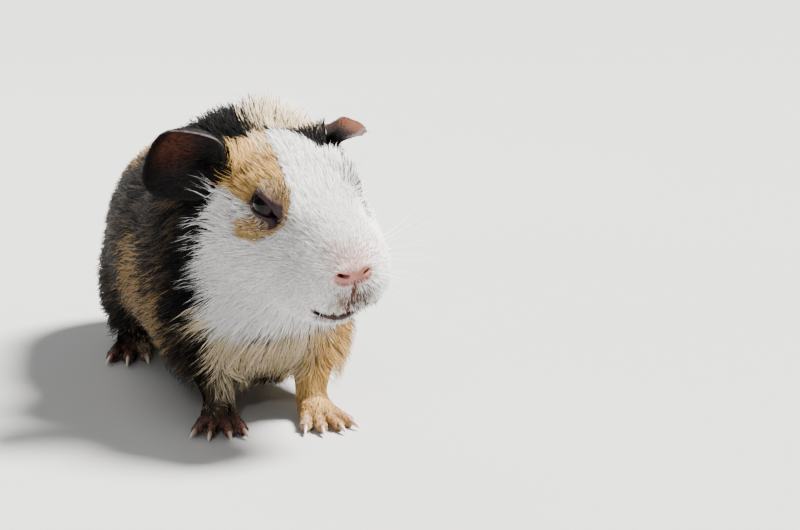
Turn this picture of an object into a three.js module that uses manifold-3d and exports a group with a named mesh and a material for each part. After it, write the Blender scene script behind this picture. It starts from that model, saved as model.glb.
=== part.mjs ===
// A smooth-coated guinea pig at life size, standing on all fours with its head lowered a little and
// turned to its left. Millimetres, +Z up. It faces -Y, its right side is -X, and its soles are at Z = 0.
// The solids reach to the tips of the coat. Trunk and head are one smooth surface around a bent spine,
// blended from rounded masses, and thin cuts part it into the pieces that a person would name.
import * as THREE from "three";
import { mergeVertices } from "three/addons/utils/BufferGeometryUtils.js";
import Module from "manifold-3d";

const wasm = await Module();
wasm.setup();

// Driving dimensions
const GAP = 0.3; // clearance between two pieces that meet
const REACH = 80; // longest ray from the spine to the surface
const RAY_STEP = 1.5;
const RAY_HALVINGS = 14;
const HUGE = 400; // edge of a block that stands for one side of a cut
const PLACE = [-3, -2.9, 0]; // from the frame of these dimensions to the middle of the outline

// The head's own frame has its origin between the eyes, X forward, Y to the animal's left and Z up.
const HEAD = { centre: [17.2, -80, 75.8], yaw: 17.5, pitch: 15, roll: 7.6 };
const EYE = { level: [-6, 0, 3], looks: [0.42, 0.88, 0.24], radius: 5.2, proud: 1.3 };
const EAR = {
  at: [-29, 19.5, 10.5],
  reach: 8.5,
  halfHeight: 17.5,
  halfWidth: 14.5,
  thickness: 2,
  rim: 1.1,
  cup: 5,
  curl: { starts: 0.55, depth: 3.5 }, // how the upper rim rolls forward, from a share of the half height
  squareness: 2.4,
  // The outer half keeps its width at the height called full, and tapers by that share above or below.
  right: { lean: 22, sweep: 46, droop: 2, raise: 3, taper: -0.16, full: -0.3 },
  left: { lean: 49, sweep: 49, droop: 9, raise: 2.5, taper: -0.12, full: -0.24 },
};
const MOUTH = { front: [31, 0, -23.6], slope: -7, length: 33 };
const NOSTRIL = { at: [35, 3.6, -5.2], radii: [2.4, 1.7, 1.1], slant: 28 };
const NOSE_PAD = { at: [35.5, 0, -5], radii: [4.2, 6.2, 5] };

// Legs and feet are given for one side of a middle line, which stands off the trunk's own at the front.
const FORE_MIDDLE = 6.5;
const HIND_MIDDLE = 1;
const FORELEG = { elbow: [20, -40, 26], wrist: [16, -54, 9], elbowRadius: 10, wristRadius: 6.5 };
const FOREFOOT = {
  middle: FORE_MIDDLE,
  heel: [16, -52],
  length: 15,
  halfWidth: 6.2,
  height: 8.5,
  toeOut: 6,
  toes: [
    { across: -4.6, length: 9 },
    { across: -1.6, length: 11.5 },
    { across: 1.8, length: 11 },
    { across: 5, length: 8 },
  ],
  toeRadius: 2.2,
  fan: 4,
  claw: { length: 4.5, radius: 0.95, drop: 1.1 },
};
const HIND_FOOT = {
  middle: HIND_MIDDLE,
  heel: [29, 76],
  length: 31,
  halfWidth: 6,
  height: 10,
  toeOut: 8,
  toes: [
    { across: -4, length: 11 },
    { across: 0, length: 13.5 },
    { across: 4, length: 11 },
  ],
  toeRadius: 2.5,
  fan: 3,
  claw: { length: 6, radius: 1.15, drop: 1.3 },
};
const HAUNCH_CUT = { at: [36, 60, 26], radii: [24, 34, 30] };

// Where the trunk is parted: a point on each cut and the way it faces.
const HEAD_CUT = { point: [14, -66, 72], facing: [0.2, -0.93, 0.34] };
const NECK_CUT = { point: [9, -46, 62], facing: [0.12, -0.93, 0.34] };
const CHEST_CUT = { point: [0, 10, 50], facing: [0, -1, 0] };
const BELLY_CUT = { point: [0, 62, 50], facing: [0, -1, 0] };

// Resolution of the faceted surfaces
const SECTION_CHORD = 0.25; // share of the spine before and after a section
const BODY_GRID = { rearRings: 5, spineRings: 24, frontRings: 9, spokes: 30 };
const EAR_SPOKES = 16;
const EAR_SHARES = [0.5, 1, 1, 0.5]; // how far out each ring lies, over the front and back again
const CLAW_SPOKES = 5;
const CLAW_RINGS = 3;

// Colours of the finished animal, one per kind of surface
const FINISH = {
  coat: { color: 0x6b5545, roughness: 0.75 },
  white_coat: { color: 0xf1ece4, roughness: 0.75 },
  ear_skin: { color: 0x4a3531, roughness: 0.6 },
  nose_skin: { color: 0xd9a29a, roughness: 0.5 },
  foot_skin: { color: 0xb98f80, roughness: 0.6 },
  claw: { color: 0xcdb9a4, roughness: 0.35 },
  eye: { color: 0x120d0c, roughness: 0.05 },
};

const SIDES = { right: -1, left: 1 };
const radians = THREE.MathUtils.degToRad;
const vector = (values) => new THREE.Vector3(...values);

const guineaPig = new THREE.Group();
guineaPig.name = "guinea_pig";
guineaPig.position.set(...PLACE);

// ---------------------------------------------------------------- frames

function headFrame({ centre, yaw, pitch, roll }) {
  const facing = new THREE.Matrix4().makeBasis(vector([0, -1, 0]), vector([1, 0, 0]), vector([0, 0, 1]));
  return new THREE.Matrix4()
    .makeTranslation(...centre)
    .multiply(new THREE.Matrix4().makeRotationZ(radians(yaw)))
    .multiply(facing)
    .multiply(new THREE.Matrix4().makeRotationY(radians(pitch)))
    .multiply(new THREE.Matrix4().makeRotationX(radians(roll)));
}

const HEAD_FRAME = headFrame(HEAD);
const BODY_FRAME = new THREE.Matrix4();

function inHead(...values) {
  return vector(values).applyMatrix4(HEAD_FRAME);
}

// ---------------------------------------------------------------- the body's masses

// A rounded mass: its frame, centre and radii, and how wide it blends into the ones before it.
function mass(frame, centre, radii, blend) {
  return { toLocal: frame.clone().invert(), centre: vector(centre), radii, blend };
}

// The same mass on both sides of a middle line: across X on the trunk, across Y in the head's frame.
function pair(frame, middle, [x, y, z], radii, blend) {
  return [-1, 1].map((side) => {
    const centre = frame === HEAD_FRAME ? [x, middle + side * y, z] : [middle + side * x, y, z];
    return mass(frame, centre, radii, blend);
  });
}

const BARREL = mass(BODY_FRAME, [2, 28, 47], [43, 74, 42], 0);
const RUMP = mass(BODY_FRAME, [5, 74, 45], [40, 43, 40], 18);
const CHEST = mass(BODY_FRAME, [5, -26, 44], [34, 41, 38.5], 18);
const BACK = mass(BODY_FRAME, [5, 4, 62], [28, 64, 34.5], 14);
const NAPE = mass(BODY_FRAME, [6.5, -30, 76.5], [34.5, 28, 31.5], 14);
const HAUNCHES = pair(BODY_FRAME, 3, [29, 64, 25], [17, 32, 22], 10);
const SHOULDERS = pair(BODY_FRAME, FORE_MIDDLE, [19, -34, 33], [14, 24, 26], 10);
const NECK = mass(BODY_FRAME, [13, -57, 63], [26, 26, 32], 14);
const CRANIUM = mass(HEAD_FRAME, [-14, 0, 0], [27, 17.5, 21], 12);
const BRIDGE = mass(HEAD_FRAME, [4, 0, 0], [26, 12.5, 14.5], 8);
const MUZZLE = mass(HEAD_FRAME, [13, 0, -8.5], [22, 16, 16], 8);
const CHEEKS = pair(HEAD_FRAME, 0, [-8, 12.5, -14], [23, 14.5, 18], 9);
const THROAT = mass(HEAD_FRAME, [2, 0, -20], [24, 14, 12], 6);
const WHISKER_PADS = pair(HEAD_FRAME, 0, [19, 9.5, -13], [14, 8.5, 13], 6);
const CHIN = mass(HEAD_FRAME, [17, 0, -21.5], [12, 9, 9.5], 5);
const BROWS = pair(HEAD_FRAME, 0, [2, 10, 9], [9, 5, 5.5], 8);
const EAR_ROOTS = pair(HEAD_FRAME, 0, [-26, 15.5, 8], [8, 8, 12], 6);
const TRUNK_MASSES = [RUMP, CHEST, BACK, NAPE, ...HAUNCHES, ...SHOULDERS, NECK];
const HEAD_MASSES = [
  CRANIUM, BRIDGE, MUZZLE, ...CHEEKS, THROAT, ...WHISKER_PADS, CHIN, ...BROWS, ...EAR_ROOTS,
];

// Approximate distance from a point to an ellipsoid's surface, negative inside.
function ellipsoidLevel(point, { toLocal, centre, radii }) {
  const q = point.clone().applyMatrix4(toLocal).sub(centre);
  const a = Math.hypot(q.x / radii[0], q.y / radii[1], q.z / radii[2]);
  const b = Math.hypot(q.x / radii[0] ** 2, q.y / radii[1] ** 2, q.z / radii[2] ** 2);
  return b > 0 ? (a * (a - 1)) / b : -Math.min(...radii);
}

function smoothMin(a, b, width) {
  const overlap = Math.max(width - Math.abs(a - b), 0) / width;
  return Math.min(a, b) - (overlap * overlap * width) / 4;
}

function bodyLevel(point) {
  let level = ellipsoidLevel(point, BARREL);
  for (const one of [...TRUNK_MASSES, ...HEAD_MASSES]) {
    level = smoothMin(level, ellipsoidLevel(point, one), one.blend);
  }
  return level;
}

// ---------------------------------------------------------------- the body's surface

const SPINE = new THREE.CatmullRomCurve3([
  vector([5, 74, 44]),
  vector([2, 40, 46]),
  vector([3, 2, 48]),
  vector([6, -32, 53]),
  vector([12, -56, 60]),
  inHead(-8, 0, -9),
  inHead(14, 0, -8),
], false, "centripetal");

// A section faces along a long chord of the spine, so that sections don't cross under the throat.
function sectionFrame(t) {
  const ahead = SPINE.getPointAt(Math.min(1, t + SECTION_CHORD));
  const behind = SPINE.getPointAt(Math.max(0, t - SECTION_CHORD));
  const forward = ahead.sub(behind).normalize();
  const right = new THREE.Vector3().crossVectors(forward, vector([0, 0, 1])).normalize();
  const up = new THREE.Vector3().crossVectors(right, forward);
  return { origin: SPINE.getPointAt(t), forward, right, up };
}

// One ring for each entry: a place on the spine and how far its rays lean forward.
function ringPlan({ rearRings, spineRings, frontRings }) {
  const plan = [];
  for (let i = 1; i < rearRings; i++) plan.push({ t: 0, lean: -90 * (1 - i / rearRings) });
  for (let i = 0; i <= spineRings; i++) plan.push({ t: i / spineRings, lean: 0 });
  for (let i = 1; i < frontRings; i++) plan.push({ t: 1, lean: (90 * i) / frontRings });
  return plan;
}

// The first place along a ray where the body's level reaches a given height over its surface.
function rayHit(origin, direction, height) {
  const at = (distance) => origin.clone().addScaledVector(direction, distance);
  let inner = 0;
  let outer = RAY_STEP;
  while (outer < REACH && bodyLevel(at(outer)) < height) {
    inner = outer;
    outer += RAY_STEP;
  }
  for (let i = 0; i < RAY_HALVINGS; i++) {
    const middle = (inner + outer) / 2;
    if (bodyLevel(at(middle)) < height) inner = middle;
    else outer = middle;
  }
  return at((inner + outer) / 2);
}

function bodyGeometry(height) {
  const { spokes } = BODY_GRID;
  const rings = ringPlan(BODY_GRID);
  const rear = sectionFrame(0);
  const points = [rayHit(rear.origin, rear.forward.clone().negate(), height)];
  for (const { t, lean } of rings) {
    const { origin, forward, right, up } = sectionFrame(t);
    for (let j = 0; j < spokes; j++) {
      const turn = (j / spokes) * Math.PI * 2;
      const direction = right.clone().multiplyScalar(Math.cos(turn)).addScaledVector(up, Math.sin(turn));
      direction.multiplyScalar(Math.cos(radians(lean))).addScaledVector(forward, Math.sin(radians(lean)));
      points.push(rayHit(origin, direction, height));
    }
  }
  const front = sectionFrame(1);
  points.push(rayHit(front.origin, front.forward, height));
  return closedTube(points, rings.length, spokes);
}

// Faces over a first point, rings of points and a last point. They face out when the rings turn
// counter-clockwise seen from the first point.
function closedTube(points, ringCount, spokes) {
  const index = [];
  const at = (ring, spoke) => 1 + ring * spokes + (spoke % spokes);
  const last = points.length - 1;
  for (let j = 0; j < spokes; j++) {
    index.push(0, at(0, j), at(0, j + 1));
    index.push(last, at(ringCount - 1, j + 1), at(ringCount - 1, j));
    for (let i = 0; i < ringCount - 1; i++) {
      index.push(at(i, j), at(i + 1, j), at(i, j + 1));
      index.push(at(i, j + 1), at(i + 1, j), at(i + 1, j + 1));
    }
  }
  const geometry = new THREE.BufferGeometry();
  const positions = points.flatMap((point) => point.toArray());
  geometry.setAttribute("position", new THREE.Float32BufferAttribute(positions, 3));
  geometry.setIndex(index);
  return geometry;
}

// ---------------------------------------------------------------- solids

function solid(geometry) {
  const bare = geometry.clone();
  bare.deleteAttribute("normal");
  bare.deleteAttribute("uv");
  const merged = mergeVertices(bare, 1e-4);
  const vertProperties = new Float32Array(merged.attributes.position.array);
  const triVerts = new Uint32Array(merged.index.array);
  return new wasm.Manifold(new wasm.Mesh({ numProp: 3, vertProperties, triVerts }));
}

// A geometry moved into a frame, as a solid. Its faces turn back out when the frame mirrors it.
function solidIn(frame, geometry) {
  const placed = geometry.clone().applyMatrix4(frame);
  if (frame.determinant() < 0) {
    const order = placed.index.array;
    for (let i = 0; i < order.length; i += 3) {
      [order[i], order[i + 1]] = [order[i + 1], order[i]];
    }
  }
  return solid(placed);
}

function geometryOf(manifold) {
  const { vertProperties, triVerts } = manifold.getMesh();
  const geometry = new THREE.BufferGeometry();
  geometry.setAttribute("position", new THREE.BufferAttribute(vertProperties, 3));
  geometry.setIndex(new THREE.BufferAttribute(triVerts, 1));
  geometry.computeVertexNormals();
  return geometry;
}

function addNode(name, manifold, finish) {
  const material = new THREE.MeshStandardMaterial({ ...FINISH[finish], metalness: 0 });
  const mesh = new THREE.Mesh(geometryOf(manifold), material);
  mesh.name = name;
  guineaPig.add(mesh);
}

function ellipsoid(centre, radii, around = 16, along = 10) {
  const ball = new THREE.SphereGeometry(1, around, along);
  ball.scale(...radii);
  ball.translate(...centre);
  return ball;
}

// A tapered bar with round ends between two points.
function limb(start, end, startRadius, endRadius, around, steps) {
  const span = end.clone().sub(start);
  const length = span.length();
  const profile = [];
  for (let i = 0; i <= steps; i++) {
    const angle = (Math.PI / 2) * (i / steps);
    profile.push(new THREE.Vector2(startRadius * Math.sin(angle), -startRadius * Math.cos(angle)));
  }
  for (let i = 0; i <= steps; i++) {
    const angle = (Math.PI / 2) * (i / steps);
    profile.push(new THREE.Vector2(endRadius * Math.cos(angle), length + endRadius * Math.sin(angle)));
  }
  const bar = new THREE.LatheGeometry(profile, around);
  bar.applyQuaternion(new THREE.Quaternion().setFromUnitVectors(vector([0, 1, 0]), span.normalize()));
  bar.translate(start.x, start.y, start.z);
  return bar;
}

// A block that fills the side of a plane that the normal points to, starting a distance past it.
function halfSpace(point, normal, distance) {
  const block = new THREE.BoxGeometry(HUGE, HUGE, HUGE);
  block.translate(0, 0, HUGE / 2 + distance);
  block.applyQuaternion(new THREE.Quaternion().setFromUnitVectors(vector([0, 0, 1]), normal));
  block.translate(point.x, point.y, point.z);
  return solid(block);
}

// Parts a solid at a plane: what lies on the side it faces, and the rest.
function partAt(whole, { point, facing }) {
  const normal = vector(facing).normalize();
  const beyond = halfSpace(vector(point), normal, GAP / 2);
  const behind = halfSpace(vector(point), normal.clone().negate(), GAP / 2);
  return [whole.intersect(beyond), whole.intersect(behind)];
}

// ---------------------------------------------------------------- head pieces

// The eyeball looks out of the side of the head, a little proud of the coat.
function eyeSolid(side, extra) {
  const [ahead, out, upward] = EYE.looks;
  const looks = vector([ahead, side * out, upward]).normalize().transformDirection(HEAD_FRAME);
  const front = rayHit(inHead(...EYE.level), looks, 0);
  const centre = front.addScaledVector(looks, EYE.proud - EYE.radius);
  const radius = EYE.radius + extra;
  return solid(ellipsoid(centre.toArray(), [radius, radius, radius], 12, 8));
}

// A petal: a broad dish on the side of the head, swept out and back, hollow to the front. Its rings
// run from the middle of the front face over the rim to the middle of the back.
function earSolid(name) {
  const side = SIDES[name];
  const { lean, sweep, droop, raise, taper, full } = EAR[name];
  const outward = vector([
    -Math.sin(radians(sweep)) * Math.cos(radians(droop)),
    side * Math.cos(radians(sweep)) * Math.cos(radians(droop)),
    -Math.sin(radians(droop)),
  ]);
  const upward = vector([Math.sin(radians(lean)), 0, Math.cos(radians(lean))]);
  const facing = new THREE.Vector3().crossVectors(outward, upward).normalize().multiplyScalar(side);
  const root = vector([EAR.at[0], side * EAR.at[1], EAR.at[2] + raise]);
  const middle = root.addScaledVector(outward, EAR.reach);
  const ringPoint = (ring, angle) => {
    const share = EAR_SHARES[ring];
    const up = side * share * roundedSquare(Math.sin(angle), EAR.squareness);
    const evenly = share * roundedSquare(Math.cos(angle), EAR.squareness);
    const out = evenly > 0 ? evenly * (1 + taper * (up - full)) : evenly;
    const face = ring < EAR_SHARES.length / 2 ? 0.5 : -0.5;
    const dish = EAR.cup * (up * up + out * out);
    const curled = Math.max(up - EAR.curl.starts, 0) / (1 - EAR.curl.starts);
    const wall = THREE.MathUtils.lerp(EAR.thickness, EAR.rim, share);
    const depth = dish + EAR.curl.depth * curled ** 2 + face * wall;
    return middle.clone()
      .addScaledVector(outward, EAR.halfWidth * out)
      .addScaledVector(upward, EAR.halfHeight * up)
      .addScaledVector(facing, depth);
  };
  const points = [middle.clone().addScaledVector(facing, EAR.thickness / 2)];
  for (let ring = 0; ring < EAR_SHARES.length; ring++) {
    for (let j = 0; j < EAR_SPOKES; j++) points.push(ringPoint(ring, (j / EAR_SPOKES) * Math.PI * 2));
  }
  points.push(middle.clone().addScaledVector(facing, -EAR.thickness / 2));
  return solidIn(HEAD_FRAME, closedTube(points, EAR_SHARES.length, EAR_SPOKES));
}

// A circle's coordinate pushed out towards a square's.
function roundedSquare(value, squareness) {
  return Math.sign(value) * Math.abs(value) ** (2 / squareness);
}

function nostrilSolid(side) {
  const { at, radii, slant } = NOSTRIL;
  const slit = ellipsoid([0, 0, 0], radii, 8, 6);
  slit.rotateX(radians(side * slant));
  slit.translate(at[0], side * at[1], at[2]);
  return solidIn(HEAD_FRAME, slit);
}

// The block under the mouth's line, from the lip back to where the jaw ends below the cheek.
function jawBlock(shrink) {
  const block = new THREE.BoxGeometry(HUGE, HUGE, HUGE);
  block.translate(HUGE / 2 + shrink, 0, -HUGE / 2 - shrink);
  block.rotateY(-radians(MOUTH.slope));
  const back = MOUTH.length * Math.cos(radians(MOUTH.slope));
  const drop = MOUTH.length * Math.sin(radians(MOUTH.slope));
  block.translate(MOUTH.front[0] - back, MOUTH.front[1], MOUTH.front[2] - drop);
  return solidIn(HEAD_FRAME, block);
}

// ---------------------------------------------------------------- legs and feet

function forelegSolid(side, extra) {
  const place = ([x, y, z]) => vector([FORE_MIDDLE + side * x, y, z]);
  const { elbow, wrist, elbowRadius, wristRadius } = FORELEG;
  return solid(limb(place(elbow), place(wrist), elbowRadius + extra, wristRadius + extra, 10, 3));
}

// A foot's own frame: X to the animal's outside, Y forward from the heel, Z up.
function footFrame(foot, side) {
  const [x, y] = foot.heel;
  return new THREE.Matrix4()
    .makeTranslation(foot.middle + side * x, y, 0)
    .multiply(new THREE.Matrix4().makeRotationZ(radians(side * foot.toeOut)))
    .multiply(new THREE.Matrix4().makeScale(side, -1, 1));
}

// A toe's root and tip, and the way it points. Toes fan out across the foot.
function toeSpan(foot, toe) {
  const turn = radians(toe.across * foot.fan);
  const along = vector([Math.sin(turn), Math.cos(turn), 0]);
  const root = vector([toe.across, foot.length - 2, foot.toeRadius + 0.6]);
  const tip = root.clone().addScaledVector(along, toe.length);
  tip.z = foot.toeRadius - 0.3;
  return { root, tip, along };
}

// Sole and toes, cut flat where they stand.
function footSolid(foot, side) {
  const frame = footFrame(foot, side);
  const centre = [0, foot.length / 2, foot.height * 0.42];
  const radii = [foot.halfWidth, foot.length / 2 + 2.5, foot.height * 0.58];
  let whole = solidIn(frame, ellipsoid(centre, radii, 12, 8));
  for (const toe of foot.toes) {
    const { root, tip } = toeSpan(foot, toe);
    whole = whole.add(solidIn(frame, limb(root, tip, foot.toeRadius + 0.5, foot.toeRadius, 7, 2)));
  }
  return whole.intersect(halfSpace(vector([0, 0, 0]), vector([0, 0, 1]), 0));
}

// A short tapered horn that curves down in front of its toe and stays clear of the floor.
function clawSolid(foot, side, toe) {
  const { tip, along } = toeSpan(foot, toe);
  const { length, radius, drop } = foot.claw;
  const across = vector([along.y, -along.x, 0]);
  const up = vector([0, 0, 1]);
  const base = tip.clone().addScaledVector(along, foot.toeRadius + GAP);
  const axisAt = (share) => base.clone()
    .addScaledVector(along, length * share)
    .addScaledVector(up, GAP - drop * share * share);
  const points = [axisAt(0)];
  for (let i = 0; i < CLAW_RINGS; i++) {
    const share = i / CLAW_RINGS;
    const girth = radius * (1 - 0.8 * share * share);
    for (let j = 0; j < CLAW_SPOKES; j++) {
      const angle = (j / CLAW_SPOKES) * Math.PI * 2;
      const point = axisAt(share).addScaledVector(across, 0.8 * girth * Math.cos(angle));
      points.push(point.addScaledVector(up, girth * Math.sin(angle)));
    }
  }
  points.push(axisAt(1));
  return solidIn(footFrame(foot, side), closedTube(points, CLAW_RINGS, CLAW_SPOKES));
}

// ---------------------------------------------------------------- assembly

const body = solid(bodyGeometry(0));
const bodyGrown = solid(bodyGeometry(GAP));

// Takes the hind legs off the body, then parts the rest from head to rump.
function buildHeadAndTrunk() {
  let rest = body;
  for (const [name, side] of Object.entries(SIDES)) {
    const [x, y, z] = HAUNCH_CUT.at;
    const centre = [HIND_MIDDLE + side * x, y, z];
    const grown = HAUNCH_CUT.radii.map((radius) => radius + GAP);
    addNode(`hindleg_${name}`, rest.intersect(solid(ellipsoid(centre, HAUNCH_CUT.radii))), "coat");
    rest = rest.subtract(solid(ellipsoid(centre, grown)));
  }
  const [head, behindHead] = partAt(rest, HEAD_CUT);
  const [neck, behindNeck] = partAt(behindHead, NECK_CUT);
  const [chest, behindChest] = partAt(behindNeck, CHEST_CUT);
  const [belly, rump] = partAt(behindChest, BELLY_CUT);
  buildHead(head);
  addNode("neck", neck, "coat");
  addNode("chest", chest, "coat");
  addNode("belly", belly, "coat");
  addNode("rump", rump, "coat");
}

// Opens the eye sockets and nostrils, then takes off the nose pad and the lower jaw.
function buildHead(whole) {
  let head = whole;
  for (const side of Object.values(SIDES)) {
    head = head.subtract(eyeSolid(side, GAP)).subtract(nostrilSolid(side));
  }
  const grownPad = NOSE_PAD.radii.map((radius) => radius + GAP);
  addNode("nose", head.intersect(solidIn(HEAD_FRAME, ellipsoid(NOSE_PAD.at, NOSE_PAD.radii))), "nose_skin");
  head = head.subtract(solidIn(HEAD_FRAME, ellipsoid(NOSE_PAD.at, grownPad)));
  addNode("lower_jaw", head.intersect(jawBlock(GAP)), "white_coat");
  addNode("head", head.subtract(jawBlock(0)), "white_coat");
}

function buildEyesAndEars() {
  for (const [name, side] of Object.entries(SIDES)) {
    addNode(`eye_${name}`, eyeSolid(side, 0), "eye");
    addNode(`ear_${name}`, earSolid(name).subtract(bodyGrown), "ear_skin");
  }
}

function buildLegs() {
  for (const [name, side] of Object.entries(SIDES)) {
    const forefoot = footSolid(FOREFOOT, side).subtract(forelegSolid(side, GAP));
    addNode(`foreleg_${name}`, forelegSolid(side, 0).subtract(bodyGrown), "coat");
    addNode(`forefoot_${name}`, forefoot.subtract(bodyGrown), "foot_skin");
    addNode(`hindfoot_${name}`, footSolid(HIND_FOOT, side).subtract(bodyGrown), "foot_skin");
    addClaws(`claw_fore_${name}`, FOREFOOT, side);
    addClaws(`claw_hind_${name}`, HIND_FOOT, side);
  }
}

function addClaws(name, foot, side) {
  foot.toes.forEach((toe, k) => addNode(`${name}_${k + 1}`, clawSolid(foot, side, toe), "claw"));
}

buildHeadAndTrunk();
buildEyesAndEars();
buildLegs();

export default guineaPig;
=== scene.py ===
"""A smooth-coated guinea pig at life size: one skin with lids, nose, mouth, ears and feet, fur in tufts
over it, eyes, claws and whiskers. Shapes are worked out in millimetres, in the frame of the numbers
below, and written in metres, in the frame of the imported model."""
import math

import bmesh
import bpy
import numpy as np
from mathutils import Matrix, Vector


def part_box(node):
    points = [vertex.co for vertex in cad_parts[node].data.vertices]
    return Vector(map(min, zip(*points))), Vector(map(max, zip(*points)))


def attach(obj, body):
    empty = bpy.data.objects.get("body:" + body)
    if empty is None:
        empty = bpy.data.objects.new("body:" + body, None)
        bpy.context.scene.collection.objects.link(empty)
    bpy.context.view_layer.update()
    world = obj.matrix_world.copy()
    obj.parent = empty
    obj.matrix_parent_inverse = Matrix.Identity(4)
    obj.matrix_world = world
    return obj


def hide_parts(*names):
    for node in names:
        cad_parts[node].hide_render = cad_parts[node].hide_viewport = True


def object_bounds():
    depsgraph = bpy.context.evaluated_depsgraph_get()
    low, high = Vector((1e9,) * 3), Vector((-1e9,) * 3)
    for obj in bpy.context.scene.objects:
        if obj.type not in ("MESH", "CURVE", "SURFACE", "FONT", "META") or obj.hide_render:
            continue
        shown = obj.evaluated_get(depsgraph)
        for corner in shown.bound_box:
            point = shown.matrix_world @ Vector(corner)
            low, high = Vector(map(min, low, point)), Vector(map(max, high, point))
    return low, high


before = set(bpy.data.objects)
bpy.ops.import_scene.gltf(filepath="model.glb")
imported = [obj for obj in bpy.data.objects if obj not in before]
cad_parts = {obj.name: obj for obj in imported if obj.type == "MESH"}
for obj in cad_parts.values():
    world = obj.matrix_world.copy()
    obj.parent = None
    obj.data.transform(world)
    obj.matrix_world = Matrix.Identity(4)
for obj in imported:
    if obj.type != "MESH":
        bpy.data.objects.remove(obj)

import openvdb
from mathutils import Matrix, Vector

CAD_BOX = [list(corner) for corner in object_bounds()]
RANDOM = np.random.default_rng(7)

# ------------------------------------------------------------------ the animal's own numbers (mm)
PLACE = np.array([-3.0, -2.9, 0.0])  # from the frame of these numbers to the middle of the outline
BOX_LOW, BOX_HIGH = (np.array(corner) * 1000 - PLACE for corner in CAD_BOX)
SIDES = {"right": -1, "left": 1}

# The head's frame: X forward, Y to the animal's left, Z up, from a point between the eyes.
HEAD = {"centre": [17.2, -80, 75.8], "yaw": 17.5, "pitch": 15, "roll": 7.6}
EYE = {"looks": [0.42, 0.88, 0.24], "radius": 5.2, "slant": [1.0, 0, -0.3]}
OPENING = (4.3, 2.2)  # half sizes of the opening between the lids
CANTHUS = ((4.9, -0.9), (2.0, 0.8))  # the corner towards the nose: place and half sizes
LID_THICKNESS = 0.8
LID_GAP = 0.05  # between the eyeball and the lids
LID_FOLD = {"edge": 2.6, "width": 0.45, "height": 0.35}  # the crease round the lids
OPENING_REACH = 8.5  # how far from the eyeball's centre the head is cleared
EAR = {
    "at": [-29, 19.5, 10.5], "reach": 8.5, "half_height": 17.5, "half_width": 14.5, "cup": 5,
    "squareness": 2.4, "curl_starts": 0.55, "curl_depth": 3.5,
    "right": {"lean": 22, "sweep": 46, "droop": 2, "raise": 3, "taper": -0.16, "full": -0.3},
    "left": {"lean": 49, "sweep": 49, "droop": 9, "raise": 2.5, "taper": -0.12, "full": -0.24},
}
# The mouth's line rises back from its front and out from the middle, as far as its corners.
MOUTH = {"front": 29.0, "level": -23.5, "rise": 0.36, "arch": 0.033, "back": 17.0, "corner": 13.5,
         "depth": 6.0}
MOUTH_DROP = 0.4  # from the mouth's line down to the middle of its gap
# The nose has a pad, two wings and the ridge under the nostrils: centre, radii and width of the blend.
NOSE_MASSES = [
    ([32.6, 0, -5.0], [3.4, 4.6, 4.0], 2.0),
    ([33.0, 3.6, -3.9], [2.5, 2.6, 1.9], 1.0),
    ([32.6, 2.9, -7.6], [2.2, 2.4, 1.3], 1.0),
]
NOSTRIL = {"at": [34.4, 4.0, -5.9], "radii": [2.0, 1.8, 0.62], "tilt": 24}
CLEFT = {"half_width": 0.12, "flare": 0.35, "top": -8.2, "back": 24, "depth": 3.2}
FORE_MIDDLE = 6.5
HIND_MIDDLE = 1.0
FORELEG = {"elbow": [20, -40, 26], "wrist": [16, -54, 9], "elbow_radius": 10, "wrist_radius": 6.5}
FOREFOOT = {
    "middle": FORE_MIDDLE, "heel": [16, -52], "length": 15, "half_width": 6.2, "height": 8.5, "toe_out": 6,
    "toes": [(-4.6, 9), (-1.6, 11.5), (1.8, 11), (5, 8)], "toe_radius": 2.2, "fan": 4,
    "claw": (4.5, 0.95, 1.1),
}
HIND_FOOT = {
    "middle": HIND_MIDDLE, "heel": [29, 76], "length": 31, "half_width": 6, "height": 10, "toe_out": 8,
    "toes": [(-4, 11), (0, 13.5), (4, 11)], "toe_radius": 2.5, "fan": 3,
    "claw": (6, 1.15, 1.3),
}


def both_sides(axis, middle, centre, radii, blend):
    """A mass and its mirror image: the centre's number on that axis is its distance from the middle."""
    places = [[*centre[:axis], middle + side * centre[axis], *centre[axis + 1:]] for side in SIDES.values()]
    return [(place, radii, blend) for place in places]


# Each mass: centre, radii and the width of its blend into the ones before.
TRUNK_MASSES = [
    ([2, 28, 47], [43, 74, 42], 0),
    ([5, 74, 45], [40, 43, 40], 18),
    ([5, -26, 44], [34, 41, 38.5], 18),
    ([5, 4, 62], [28, 64, 34.5], 14),
    ([6.5, -30, 76.5], [34.5, 28, 31.5], 14),
    *both_sides(0, 3, [29, 64, 25], [17, 32, 22], 10),
    *both_sides(0, FORE_MIDDLE, [19, -34, 33], [14, 24, 26], 10),
    ([13, -57, 63], [26, 26, 32], 14),
]
HEAD_MASSES = [
    ([-14, 0, 0], [27, 17.5, 21], 12),
    ([4, 0, 0], [26, 12.5, 14.5], 8),
    ([13, 0, -8.5], [22, 16, 16], 8),
    *both_sides(1, 0, [-8, 12.5, -14], [23, 14.5, 18], 9),
    ([2, 0, -20], [24, 14, 12], 6),
    *both_sides(1, 0, [19, 9.5, -13], [14, 8.5, 13], 6),
    ([17, 0, -21.5], [12, 9, 9.5], 5),
    *both_sides(1, 0, [2, 10, 9], [9, 5, 5.5], 8),
    *both_sides(1, 0, [-26, 15.5, 8], [8, 8, 12], 6),
]
SPINE = [[5, 74, 44], [2, 40, 46], [3, 2, 48], [6, -32, 53], [12, -56, 60]]
SPINE_IN_HEAD = [[-8, 0, -9], [14, 0, -8]]


# ------------------------------------------------------------------ small tools
def unit(v):
    v = np.asarray(v, float)
    return v / np.maximum(np.linalg.norm(v, axis=-1, keepdims=True), 1e-9)


def turn(axis, degrees):
    return np.array(Matrix.Rotation(math.radians(degrees), 3, axis))


def smooth_min(a, b, width):
    if width <= 0:
        return np.minimum(a, b)
    overlap = np.maximum(width - np.abs(a - b), 0) / width
    return np.minimum(a, b) - overlap * overlap * width / 4


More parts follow.
